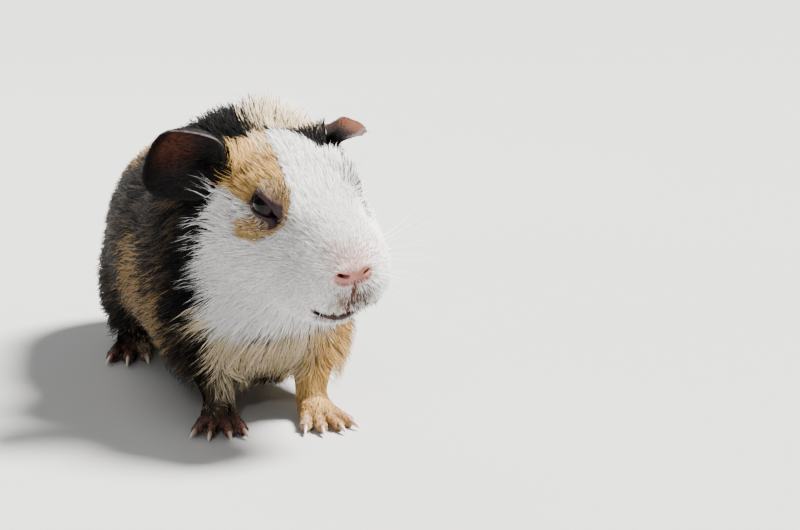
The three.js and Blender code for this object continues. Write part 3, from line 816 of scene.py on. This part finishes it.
def lie_at(p, normal, region):
    """Which way the coat lies at each point, in the surface."""
    h = to_head(p)
    away = h - NOSE
    low = step(h[:, 2], 0, -14)
    away = unit(away) - 0.35 * low[:, None] * [0, 0, 1]
    head_lie = away @ HEAD_TURN.T
    flank = np.abs(normal[:, 0])
    front = step(-normal[:, 1], 0.2, 0.8)
    trunk_lie = np.stack([np.zeros(len(p)), 1 - 0.7 * front, -0.32 * flank - 0.8 * front], 1)
    share = step(h[:, 0], -30, -52)[:, None]
    lie = unit(head_lie) * (1 - share) + trunk_lie * share
    for name in SIDES:
        distance, x, y, edge = eye_place(h, name)
        _, ahead, up, _ = EYES[name]
        round_eye = (step(edge, 6, 1.5) * (distance < 13))[:, None]
        out_of_eye = unit(x[:, None] * ahead + y[:, None] * up) @ HEAD_TURN.T
        lie = unit(lie) + 1.3 * round_eye * out_of_eye
    for k, name in enumerate(SIDES):
        on = region == 1 + k
        lie[on] = (EAR_FRAMES[name][1][:, 0] + [0, 0, -0.3]) @ HEAD_TURN.T
    fore = (region == 3) | (region == 4)
    lie[fore] = [0, -0.25, -1.0]
    lie[on_feet(region) & (p[:, 2] < 7)] = [0, -1.0, -0.25]
    lie = unit(lie)
    lie += 0.07 * np.stack([noise(p, waves) for waves in LIE_WAVES], 1)
    lie += 0.05 * np.stack([noise(p, waves) for waves in CLUMP_WAVES], 1)
    lie -= normal * (lie * normal).sum(1)[:, None]
    return unit(lie)


def length_at(p, region):
    """How long the hair is, shortest round the eyes and mouth and on ears and feet."""
    h = to_head(p)
    length = along_head(p, LENGTH)
    cheek = step(h[:, 2], 0, -22) * step(h[:, 0], 16, -4)
    length = length + 7.0 * cheek * step(h[:, 0], -50, -34) + 2.5 * cheek * step(h[:, 0], 8, -20)
    for name, side in SIDES.items():
        distance, _, _, edge = eye_place(h, name)
        length = np.where(distance < 13, np.minimum(length, 0.8 + 0.75 * np.maximum(edge - 1, 0)), length)
        length += 1.5 * step(norm(h - np.array(EAR_FOOT) * [1, side, 1]), 11, 5)
    lip = np.abs(mouth_height(h))
    near_mouth = (h[:, 0] > 14) & (lip < 7) & (np.abs(h[:, 1]) < 15) & (h[:, 2] < -12)
    length = np.where(near_mouth, np.minimum(length, 0.5 + 0.45 * lip), length)
    length = np.where(on_ears(region), 2.2, length)
    return np.where(on_feet(region), np.interp(p[:, 2], [2, 8, 14], [2.2, 3.2, 5.5]), length)


NAPE = ([25, -37, 103], [22, 19, 17])  # centre and radii of the longer, standing hair behind the ears
FAR_BROW = ([2, 12.5, 12], [12, 6, 8])  # the same of the higher hair over the far eye, in the head's frame
EAR_FOOT = [-21, 19, 7]


def in_nape(p, h, region):
    """True for the roots of the standing hair behind the ears."""
    inside = norm((p - NAPE[0]) / NAPE[1]) < 1
    return inside & (h[:, 0] < -30 + 6 * step(h[:, 1], 4, 14)) & (h[:, 1] < 16) & (region == 0)


# ------------------------------------------------------------------ tufts
def tuft_paths(roots, normals, lengths, heights, steps, region, spread):
    """Centre lines that follow the lie of the coat and rise to their heights over the skin."""
    points, ups = [roots - normals * 0.25], [normals]
    stray = RANDOM.normal(scale=spread, size=roots.shape)
    here, up = roots, normals
    for k in range(1, steps + 1):
        share = k / steps
        way = lie_at(here, up, region) + stray * share
        way = unit(way - up * (way * up).sum(1)[:, None] * (1 - share))
        here = here + way * (lengths / steps)[:, None]
        rise = heights * (1 - (1 - share) ** 1.8)
        level, gradient = gradient_at(here, 0.3)
        up = unit(gradient)
        size = np.maximum(norm(gradient), 0.5)
        here = here + up * np.clip((rise - level) / size, -2.5, 2.5)[:, None]
        points.append(here)
        ups.append(up)
    points = np.stack(points, 1)
    points[..., 2] = np.maximum(points[..., 2], 0.15)
    return points, np.stack(ups, 1)


def tuft_faces(steps, count):
    """Triangles of count closed three-sided tufts."""
    pairs = ((0, 2), (2, 1), (1, 0))
    one = [(0, 1, 2)]
    for k in range(steps - 1):
        for a, b in pairs:
            i, j = 3 * k, 3 * k + 3
            one += [(i + a, i + b, j + b), (i + a, j + b, j + a)]
    i, tip = 3 * (steps - 1), 3 * steps
    one += [(i + a, i + b, tip) for a, b in pairs]
    size = 3 * steps + 1
    return (np.array(one)[None] + (np.arange(count) * size)[:, None, None]).reshape(-1, 3)


def tuft_vertices(points, ups, widths, taper):
    """Three vertices round each centre point, left, right and on top, then the tip."""
    steps = points.shape[1] - 1
    ahead = np.gradient(points, axis=1)
    side = unit(np.cross(ups, ahead))
    top = unit(np.cross(ahead, side))
    half = widths[:, None] * np.array(taper)[None] / 2
    rings = []
    for k in range(steps):
        w = half[:, k, None]
        c = points[:, k]
        rings += [c + side[:, k] * w, c - side[:, k] * w, c + top[:, k] * w * 0.9]
    rings.append(points[:, steps])
    rings = np.stack(rings, 1)
    rings[..., 2] = np.maximum(rings[..., 2], 0.03)
    return rings


PATCH_SIZE = 0.003  # of each tuft on the OFBake map


def add_bake_map(mesh, uvs):
    """The OFBake map from a place per vertex."""
    loops = np.empty(len(mesh.loops), np.int32)
    mesh.loops.foreach_get("vertex_index", loops)
    uv = mesh.uv_layers.new(name="OFBake")
    uv.data.foreach_set("uv", uvs[loops].astype(np.float32).ravel())


# ------------------------------------------------------------------ materials
def node_material(name):
    material = bpy.data.materials.new(name)
    material.use_nodes = True
    nodes, links = material.node_tree.nodes, material.node_tree.links
    return material, nodes, links, nodes["Principled BSDF"]


def mapped(nodes, links, source, low, high):
    """A node's output that maps the source's 0 to 1 onto low to high."""
    node = nodes.new("ShaderNodeMapRange")
    node.inputs["To Min"].default_value = low
    node.inputs["To Max"].default_value = high
    links.new(source, node.inputs["Value"])
    return node.outputs["Result"]


def coloured_material(name, grain, grain_amount, bump_height, roughness, **constants):
    """Principled material with its colour from the mesh, varied by a fine grain that is also its bump."""
    material, nodes, links, shader = node_material(name)
    for socket, value in constants.items():
        shader.inputs[socket.replace("_", " ")].default_value = value
    colour = nodes.new("ShaderNodeAttribute")
    colour.attribute_name = "coat"
    place = nodes.new("ShaderNodeTexCoord")
    noise_node = nodes.new("ShaderNodeTexNoise")
    noise_node.inputs["Scale"].default_value = grain
    noise_node.inputs["Detail"].default_value = 3
    links.new(place.outputs["Object"], noise_node.inputs["Vector"])
    fac = noise_node.outputs["Fac"]
    mix = nodes.new("ShaderNodeVectorMath")
    mix.operation = "SCALE"
    links.new(colour.outputs["Color"], mix.inputs[0])
    links.new(mapped(nodes, links, fac, 1 - grain_amount, 1 + grain_amount), mix.inputs["Scale"])
    links.new(mix.outputs["Vector"], shader.inputs["Base Color"])
    links.new(mapped(nodes, links, fac, *roughness), shader.inputs["Roughness"])
    if bump_height:
        bump = nodes.new("ShaderNodeBump")
        bump.inputs["Distance"].default_value = bump_height
        bump.inputs["Strength"].default_value = 0.6
        links.new(fac, bump.inputs["Height"])
        links.new(bump.outputs["Normal"], shader.inputs["Normal"])
    return material


def make_materials():
    return {
        "fur": coloured_material("fur", 900, 0.12, 0, (0.5, 0.65), Specular_IOR_Level=0.1),
        "skin": coloured_material("bare_skin", 1500, 0.14, 0.00025, (0.55, 0.75), Subsurface_Weight=0.1,
                                  Specular_IOR_Level=0.12, Subsurface_Scale=0.002,
                                  Subsurface_Radius=(1.0, 0.35, 0.2)),
        "eye": coloured_material("wet_eye", 300, 0.1, 0, (0.03, 0.05), IOR=1.376,
                                 Specular_IOR_Level=0.2),
        "claw": coloured_material("horn", 700, 0.15, 0.00008, (0.25, 0.4), Subsurface_Weight=0.1,
                                  Subsurface_Scale=0.002),
        "whisker": coloured_material("whisker_hair", 500, 0.1, 0, (0.25, 0.35), Specular_IOR_Level=0.6),
    }


# ------------------------------------------------------------------ the skin as a piece
# Where the mesh is divided, and divided again: distance from an eye, head X, ear's level and foot's height.
REFINED = [
    {"eye": 11.0, "nose": 18.0, "ear": 1.0, "foot": 10.0},
    {"eye": 8.6, "nose": 25.5, "ear": -9.0, "foot": -1.0},
]


def wants_detail(p, limits):
    """True for places whose faces are divided."""
    h = to_head(p)
    wanted = (h[:, 0] > limits["nose"]) & (h[:, 2] > -27)
    for name in SIDES:
        wanted |= norm(h - EYES[name][0]) < limits["eye"]
        wanted |= ear_level(h, name) < limits["ear"]
    return wanted | (p[:, 2] < limits["foot"]) & on_feet(region_at(p))


def build_skin(material):
    """The skin, finer at the face, ears and feet, and its vertices in the frame of the numbers."""
    points, quads = skin_mesh()
    skin = mesh_object("skin", pull_to_skin(points), quads, 4)
    cage = bmesh.new()
    cage.from_mesh(skin.data)
    for limits in REFINED:
        centres = np.array([face.calc_center_median() for face in cage.faces]) * 1000 - PLACE
        wanted = wants_detail(centres, limits)
        edges = {edge for face, on in zip(cage.faces, wanted) if on for edge in face.edges}
        bmesh.ops.subdivide_edges(cage, edges=list(edges), cuts=1, use_grid_fill=True)
    bmesh.ops.triangulate(cage, faces=[face for face in cage.faces if len(face.verts) > 4])
    cage.to_mesh(skin.data)
    cage.free()
    points = np.empty(len(skin.data.vertices) * 3)
    skin.data.vertices.foreach_get("co", points)
    points = pull_to_skin(points.reshape(-1, 3) * 1000 - PLACE, limit=0.5)
    skin.data.vertices.foreach_set("co", ((points + PLACE) / 1000).astype(np.float32).ravel())
    skin.data.polygons.foreach_set("use_smooth", np.ones(len(skin.data.polygons), bool))
    skin.data.update()
    return finish_piece(skin, in_chunks(skin_colour, points), material), points


def skin_colour(p):
    """The coat's colour, a little darker, with the bare skin's colour over it, its painted shade and light
    included.
    """
    bare, own = bare_amounts(p)
    colour = coat_colour(p) * 0.8
    return colour + (own - colour) * bare[:, None]


# ------------------------------------------------------------------ the coat
TAPER = {2: [1.0, 0.75], 3: [0.9, 1.0, 0.65]}  # shares of a tuft's width at its root and steps
TUFT_BUDGET = 1_400_000  # triangles
PIECES = 8
STRANDS = 0.12  # share of longer, looser hairs on the cheeks and neck
LONGEST_STRAND = 15


def density_at(p, normal):
    """Tufts to a square millimetre, few on bare skin and none on soles and inside the mouth."""
    h = to_head(p)
    region = region_at(p)
    density = along_head(p, DENSITY)
    density = np.where(on_ears(region), EAR_DENSITY, density)
    density = np.where(on_feet(region), np.where(normal[:, 2] < -0.3, 0, FOOT_DENSITY), density)
    bare, _ = bare_amounts(p)
    density *= np.where(region == 0, 1 - 0.9 * bare, 1)
    sunk = (outline_level(p, h) + coat_depth(p, h) < -0.7) & (region == 0)
    return np.where(sunk, 0, density)


def scatter_roots(points, triangles):
    """Random places over the skin's triangles, as many as their area and density ask for."""
    a, b, c = (points[triangles[:, k]] for k in range(3))
    cross = np.cross(b - a, c - a)
    area = norm(cross) / 2
    centre = (a + b + c) / 3
    density = in_chunks(density_at, centre, unit(cross))
    expected = np.cumsum(area * density)
    count = int(expected[-1])
    at = (np.arange(count) + RANDOM.uniform(size=count)) * expected[-1] / count
    pick = np.clip(np.searchsorted(expected, at), 0, len(triangles) - 1)
    u, v = RANDOM.uniform(size=(2, count))
    flip = u + v > 1
    u, v = np.where(flip, 1 - u, u), np.where(flip, 1 - v, v)
    roots = a[pick] + (b - a)[pick] * u[:, None] + (c - a)[pick] * v[:, None]
    return roots, unit(cross[pick])


def crosses_opening(points):
    """True for tufts with a point over an eye's opening or a nostril."""
    h = to_head(points.reshape(-1, 3))
    over = ellipsoid_level(mirrored(h) - [35.0, 4.0, -6.0], [3.2, 3.0, 1.7]) < 0
    share, counts = lower_lip_share(h)
    over |= (share > -0.05) & (share < 0.8) & counts
    for name in SIDES:
        distance, _, _, edge = eye_place(h, name)
        over |= (edge < 0.9) & (distance < 10)
    return over.reshape(points.shape[:2])[:, 1:].any(1)


def tuft_heights(roots, h, region, nape):
    """How high each tuft's tip stands over the skin."""
    count = len(roots)
    height = coat_depth(roots, h) * RANDOM.uniform(0.55, 1.12, count) + 0.3
    height += 1.0 * (RANDOM.uniform(size=count) < 0.15)
    height += 2.6 * step(norm((h - FAR_BROW[0]) / FAR_BROW[1]), 1.1, 0.6)
    height = np.where(on_ears(region), 0.35, np.where(on_feet(region), 0.5, height))
    nape_height = 1.2 * height + RANDOM.uniform(0, 4, count) + 2.5 * step(h[:, 1], 0, 14)
    return np.where(nape, nape_height, height)


def make_tufts(roots, normals, steps):
    """All that a piece needs to know of some tufts, as arrays with one row a tuft."""
    h, region = to_head(roots), region_at(roots)
    count = len(roots)
    nape = in_nape(roots, h, region)
    lengths = length_at(roots, region) * RANDOM.uniform(0.75, 1.2, count)
    heights = tuft_heights(roots, h, region, nape)
    widths = along_head(roots, WIDTH) * RANDOM.uniform(0.75, 1.2, count)
    widths = np.where(region >= 1, 0.17, np.where(nape, widths * 0.65, widths))
    spread = np.where(nape, 0.35, np.where(region >= 1, 0.15, along_head(roots, SPREAD)))
    strand = (RANDOM.uniform(size=count) < STRANDS) & (region == 0) & (np.abs(h[:, 2] + 19) < 24)
    strand &= (h[:, 0] > -48) & (h[:, 0] < -14)
    lengths = np.where(strand, np.minimum(lengths * 1.6, LONGEST_STRAND), lengths)
    widths = np.where(strand, widths * 0.75, widths)
    heights = np.where(strand, heights + 1.2, heights)
    points, ups = tuft_paths(roots, normals, lengths, heights, steps, region, spread[:, None])
    clear = ~crosses_opening(points)
    points, ups, roots, region = points[clear], ups[clear], roots[clear], region[clear]
    widths, strand, count = widths[clear], strand[clear], int(clear.sum())
    middle = points[:, max(1, steps - 1)]
    own_place = ((region == 0) & ~strand)[:, None]
    colours = coat_colour(np.where(own_place, middle, roots), RANDOM.uniform(size=count))
    colours[on_ears(region)] = EAR_DARK
    colours *= np.exp(RANDOM.normal(scale=0.09, size=count))[:, None]
    return {"points": points, "ups": ups, "widths": widths, "colours": colours,
            "places": unwrap(roots, region)}


TIP_TONE = 1.12  # how much lighter a tuft's tip is
PAINTED_ROOT_SHADE = 0.6  # how light a tuft's root is drawn: painted shade where the coat shades its own roots
LONG_TUFT = 4.3  # mm; longer ones have three steps
TUFT_COSTS = {2: 10, 3: 16}  # triangles of a tuft by its steps


def build_coat(points, triangles, material):
    roots, normals = scatter_roots(points, triangles)
    long_ones = length_at(roots, region_at(roots)) > LONG_TUFT
    total = TUFT_COSTS[3] * long_ones.sum() + TUFT_COSTS[2] * (~long_ones).sum()
    keep = RANDOM.uniform(size=len(roots)) < TUFT_BUDGET / total
    sets = []
    for steps, which in ((2, ~long_ones), (3, long_ones)):
        pick = np.flatnonzero(which & keep)
        sets.append((steps, make_tufts(roots[pick], normals[pick], steps)))
    return [coat_piece(f"coat_{number + 1}", sets, number, material) for number in range(PIECES)]


def coat_piece(name, sets, number, material):
    """One of the coat's interleaved pieces: each PIECES-th tuft of every set, in one mesh."""
    vertices, faces, colours, places = [], [], [], []
    start = 0
    for steps, tufts in sets:
        part = {key: value[number::PIECES] for key, value in tufts.items()}
        ring_points = tuft_vertices(part["points"], part["ups"], part["widths"], TAPER[steps])
        share = np.concatenate([np.repeat(np.arange(steps) / steps, 3), [1.0]])
        across = np.array([-0.5, 0.5, 0.0] * steps + [0.0])
        # Tips a little lighter, and painted shade darkening each tuft towards its root.
        tone = (1 + (TIP_TONE - 1) * share) * (PAINTED_ROOT_SHADE + (1 - PAINTED_ROOT_SHADE) * share)
        colour = part["colours"][:, None] * tone[None, :, None]
        place = part["places"][:, None] + PATCH_SIZE * np.stack([across, share - 0.5], 1)[None]
        vertices.append(ring_points.reshape(-1, 3))
        faces.append(tuft_faces(steps, len(ring_points)) + start)
        colours.append(colour.reshape(-1, 3))
        places.append(place.reshape(-1, 2))
        start += len(vertices[-1])
    thing = mesh_object(name, np.concatenate(vertices), np.concatenate(faces), 3)
    finish_piece(thing, np.concatenate(colours), material)
    add_bake_map(thing.data, np.concatenate(places))
    return thing


# ------------------------------------------------------------------ eyes, claws and whiskers
def lathe(rings):
    """Vertices and triangles of a closed tube through rings of points, facing outward."""
    rings = np.asarray(rings)
    count, around = rings.shape[:2]
    vertices = np.concatenate([rings.reshape(-1, 3), rings[0].mean(0)[None], rings[-1].mean(0)[None]])
    faces = []
    for i in range(count - 1):
        for j in range(around):
            k = (j + 1) % around
            a, b = i * around + j, i * around + k
            faces += [(a, b, b + around), (a, b + around, a + around)]
    first, last = count * around, count * around + 1
    for j in range(around):
        k = (j + 1) % around
        faces += [(first, k, j), (last, (count - 1) * around + j, (count - 1) * around + k)]
    faces = np.array(faces)
    a, b, c = (vertices[faces[:, k]] - vertices.mean(0) for k in range(3))
    inside_out = np.einsum("ij,ij->i", a, np.cross(b, c)).sum() < 0
    return vertices, faces[:, ::-1] if inside_out else faces


EYE_PUPIL, EYE_IRIS = paint(4, 3, 4), paint(26, 17, 14)
CLAW_ROOT, CLAW_TIP = paint(168, 128, 112), paint(222, 206, 186)
EYE_RINGS, EYE_AROUND = 49, 64
CLAW_RINGS, CLAW_AROUND = 17, 20
CORNEA = {"height": 0.3, "reach": 0.55}  # how far it stands out, and the angle over which


def build_eye(name, material):
    centre, ahead, up, looks = EYES[name]
    theta = np.linspace(0.02, math.pi - 0.02, EYE_RINGS)
    around = np.linspace(0, 2 * math.pi, EYE_AROUND, endpoint=False)
    radius = EYE["radius"] + CORNEA["height"] * np.exp(-(theta / CORNEA["reach"]) ** 2)
    ring = np.cos(around)[:, None] * ahead + np.sin(around)[:, None] * up * SIDES[name]
    rings = radius[:, None, None] * (np.sin(theta)[:, None, None] * ring[None]
                                     + np.cos(theta)[:, None, None] * looks)
    vertices, faces = lathe(from_head(centre + rings))
    angle = np.concatenate([np.repeat(theta, EYE_AROUND), [0, math.pi]])
    iris = step(angle, 0.40, 0.48)[:, None] * step(angle, 1.0, 0.8)[:, None]
    thing = mesh_object(f"eyeball_{name}", vertices, faces, 3)
    return finish_piece(thing, EYE_PUPIL + (EYE_IRIS - EYE_PUPIL) * iris, material)


def build_claw(name, foot, side, toe, material):
    _, tip, along = toe_span(foot, toe)
    length, radius, drop = foot["claw"]
    origin, axes = foot_axes(foot, side)
    across = np.array([along[1], -along[0], 0])
    share = np.linspace(0, 1, CLAW_RINGS)[:, None]
    base = tip + along * (foot["toe_radius"] - 0.9)
    axis = base + along * (length + 1.0) * share + [0, 0, 0.25] - np.array([0, 0, drop]) * share ** 2
    girth = radius * (1 - share[:, 0] ** 2.2) ** 0.7 * 0.97 + 0.03
    angle = np.linspace(0, 2 * math.pi, CLAW_AROUND, endpoint=False)
    ring = 0.72 * np.cos(angle)[:, None] * across + np.sin(angle)[:, None] * np.array([0, 0, 1.0])
    rings = axis[:, None] + girth[:, None, None] * ring[None]
    rings[..., 2] = np.maximum(rings[..., 2], 0.02)
    vertices, faces = lathe(rings @ axes.T + origin)
    tone = np.concatenate([np.repeat(share[:, 0], CLAW_AROUND), [0, 1]])[:, None]
    thing = mesh_object(name, vertices, faces, 3)
    return finish_piece(thing, CLAW_ROOT + (CLAW_TIP - CLAW_ROOT) * tone, material)


WHISKER_RINGS, WHISKER_AROUND = 13, 5
BOX_LIMIT = 0.03 * (BOX_HIGH - BOX_LOW) + 9.0  # how far whiskers may stand out of the solids' box


def hair_tubes(name, starts, directions, lengths, droops, radius, material):
    """Whiskers: tapered tubes that start along a direction and bend by their droop, as long as fits."""
    shares = np.linspace(0, 1, WHISKER_RINGS)
    vertices, faces = [], []
    angle = np.linspace(0, 2 * math.pi, WHISKER_AROUND, endpoint=False)
    count = 0
    for start, direction, length, droop in zip(starts, directions, lengths, droops):
        for _ in range(20):
            s = shares[:, None] * length
            path = start + direction * s + droop * s ** 2
            if (path > BOX_LOW - BOX_LIMIT).all() and (path < BOX_HIGH + BOX_LIMIT).all():
                break
            length *= 0.93
        ahead = unit(np.gradient(path, axis=0))
        side = unit(np.cross(ahead, [0.1, 0.2, 1.0]))
        top = np.cross(side, ahead)
        girth = radius * (1 - 0.85 * shares)
        rings = path[:, None] + girth[:, None, None] * (np.cos(angle)[None, :, None] * side[:, None]
                                                        + np.sin(angle)[None, :, None] * top[:, None])
        one, index = lathe(rings)
        vertices.append(one)
        faces.append(index + count)
        count += len(one)
    thing = mesh_object(name, np.concatenate(vertices), np.concatenate(faces), 3)
    return finish_piece(thing, np.tile(WHITE * 0.95, (count, 1)), material)


# The right side's whiskers turn down, so that they stay in the box; brows are those over the eye.
WHISKERS = {
    "right": {"rows": (2, 3), "turned_down": 0.75, "brows": 0, "radius": 0.075},
    "left": {"rows": (0, 1, 2, 3), "turned_down": 0.0, "brows": 3, "radius": 0.11},
}


def build_whiskers(side_name, material):
    side, own = SIDES[side_name], WHISKERS[side_name]
    starts, directions, lengths, droops = [], [], [], []
    for row in own["rows"]:
        for column in range(4):
            starts.append([28 - 3.2 * column, side * (9 + 1.4 * column), -4.5 - 3.0 * row - 0.6 * column])
            directions.append([0.25 - 0.2 * column, side * 1.0, 0.12 - 0.22 * row - own["turned_down"]])
            lengths.append(24 + 5.5 * column + RANDOM.uniform(-3, 3))
            droops.append([-0.004 - 0.002 * column, -side * 0.002, -0.004 - 0.0012 * row])
    for k in range(own["brows"]):
        starts.append([9 + 2.0 * k, side * 11, 15.5 - k])
        directions.append([0.35 + 0.25 * k, side * 0.5, 0.9 - 0.2 * k])
        lengths.append(20 + RANDOM.uniform(-3, 3))
        droops.append([-0.012, side * 0.004, 0.002])
    starts = pull_to_skin(from_head(starts), rounds=12, limit=2.0)
    directions = unit(np.array(directions) + RANDOM.normal(scale=0.07, size=(len(starts), 3)))
    turned = directions @ HEAD_TURN.T
    bends = np.array(droops) @ HEAD_TURN.T
    return hair_tubes(f"whiskers_{side_name}", starts - turned * 0.6, turned, lengths, bends,
                      own["radius"], material)


# ------------------------------------------------------------------ stage
IMAGE = (800, 530)
SENSOR = 36.0
CAMERA = {"azimuth": -7, "elevation": 11, "distance": 0.7, "lens": 85, "target": (-0.003, -0.0029, 0.045),
          "pixel": (225, 262)}
FLOOR_HALF = 6000.0  # mm
FLOOR_TONE = (0.38, 0.41)
SKY_STRENGTH = 0.26
LIGHTS_AIM = (0, -0.02, 0.05)
LIGHTS = [  # name, kind, place (m), size (m, or radians for the sun), power and colour
    ("key", "SUN", (0.72, 0.0, 1.05), 0.3, 25, (1.0, 0.98, 0.94)),
    ("fill", "AREA", (-0.9, -1.0, 0.5), 1.2, 1, (0.92, 0.96, 1.0)),
    ("catch", "AREA", (-0.32, -0.9, 0.62), 0.12, 2.5, (1.0, 1.0, 1.0)),
    ("rim", "AREA", (-0.3, 0.9, 0.9), 0.6, 8, (1.0, 0.98, 0.95)),
]


def add_camera():
    """A camera whose target lands on its pixel of the image."""
    azimuth, elevation = math.radians(CAMERA["azimuth"]), math.radians(CAMERA["elevation"])
    back = Vector((math.sin(azimuth) * math.cos(elevation), -math.cos(azimuth) * math.cos(elevation),
                   math.sin(elevation)))
    focal = CAMERA["lens"] / SENSOR * IMAGE[0]
    to_target = -back * CAMERA["distance"]
    forward = -back
    for _ in range(30):
        right = forward.cross(Vector((0, 0, 1))).normalized()
        up = right.cross(forward)
        depth = to_target.dot(forward)
        x = to_target.dot(right) * focal / depth + IMAGE[0] / 2
        y = IMAGE[1] / 2 - to_target.dot(up) * focal / depth
        forward = forward + right * ((x - CAMERA["pixel"][0]) / focal)
        forward = forward - up * ((y - CAMERA["pixel"][1]) / focal)
        forward.normalize()
    data = bpy.data.cameras.new("camera")
    data.lens = CAMERA["lens"]
    data.sensor_width = SENSOR
    data.clip_start = 0.01
    camera = bpy.data.objects.new("camera", data)
    right = forward.cross(Vector((0, 0, 1))).normalized()
    turned = Matrix((right, right.cross(forward), -forward)).transposed().to_4x4()
    camera.matrix_world = Matrix.Translation(Vector(CAMERA["target"]) + back * CAMERA["distance"]) @ turned
    bpy.context.scene.collection.objects.link(camera)
    bpy.context.scene.camera = camera


def add_light(name, kind, place, size, power, colour):
    data = bpy.data.lights.new(name, kind)
    if kind == "SUN":
        data.angle = size
    else:
        data.size = size
    data.energy = power
    data.color = colour
    light = bpy.data.objects.new(name, data)
    way = Vector(LIGHTS_AIM) - Vector(place)
    light.matrix_world = Matrix.Translation(place) @ way.to_track_quat("-Z", "Y").to_matrix().to_4x4()
    bpy.context.scene.collection.objects.link(light)


def add_stage():
    corners = FLOOR_HALF * np.array([[-1, -1, 0], [1, -1, 0], [1, 1, 0], [-1, 1, 0]]) - PLACE
    floor = mesh_object("floor", corners, [[0, 1, 2, 3]], 4)
    material, nodes, links, shader = node_material("pale_floor")
    speckle = nodes.new("ShaderNodeTexNoise")
    speckle.inputs["Scale"].default_value = 40
    links.new(mapped(nodes, links, speckle.outputs["Fac"], *FLOOR_TONE), shader.inputs["Base Color"])
    shader.inputs["Roughness"].default_value = 0.9
    floor.data.materials.append(material)
    world = bpy.data.worlds.new("studio")
    world.use_nodes = True
    sky = world.node_tree.nodes["Background"]
    sky.inputs["Color"].default_value = (0.93, 0.96, 1.0, 1)
    sky.inputs["Strength"].default_value = SKY_STRENGTH
    bpy.context.scene.world = world
    for light in LIGHTS:
        add_light(*light)


# ------------------------------------------------------------------ assembly
FLESH = ["head", "lower_jaw", "nose", "neck", "chest", "belly", "rump"]
PAIRED = ["ear", "foreleg", "forefoot", "hindleg", "hindfoot"]
FLESH += [f"{part}_{side}" for part in PAIRED for side in SIDES]


def place_piece(piece, slot, *nodes):
    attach(piece, "root")
    if nodes:
        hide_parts(*nodes)


def build_animal():
    materials = make_materials()
    skin, points = build_skin(materials["skin"])
    place_piece(skin, "coat", *FLESH)
    skin.data.calc_loop_triangles()
    triangles = np.empty(len(skin.data.loop_triangles) * 3, np.int32)
    skin.data.loop_triangles.foreach_get("vertices", triangles)
    for piece in build_coat(points, triangles.reshape(-1, 3), materials["fur"]):
        place_piece(piece, "coat")
    for name, side in SIDES.items():
        place_piece(build_eye(name, materials["eye"]), "eye", f"eye_{name}")
        place_piece(build_whiskers(name, materials["whisker"]), "white_coat")
        for kind, foot in (("fore", FOREFOOT), ("hind", HIND_FOOT)):
            for k, toe in enumerate(foot["toes"]):
                node = f"claw_{kind}_{name}_{k + 1}"
                claw = build_claw(f"{node}_horn", foot, side, toe, materials["claw"])
                place_piece(claw, "claw", node)


add_camera()
add_stage()
build_animal()

bpy.context.view_layer.update()
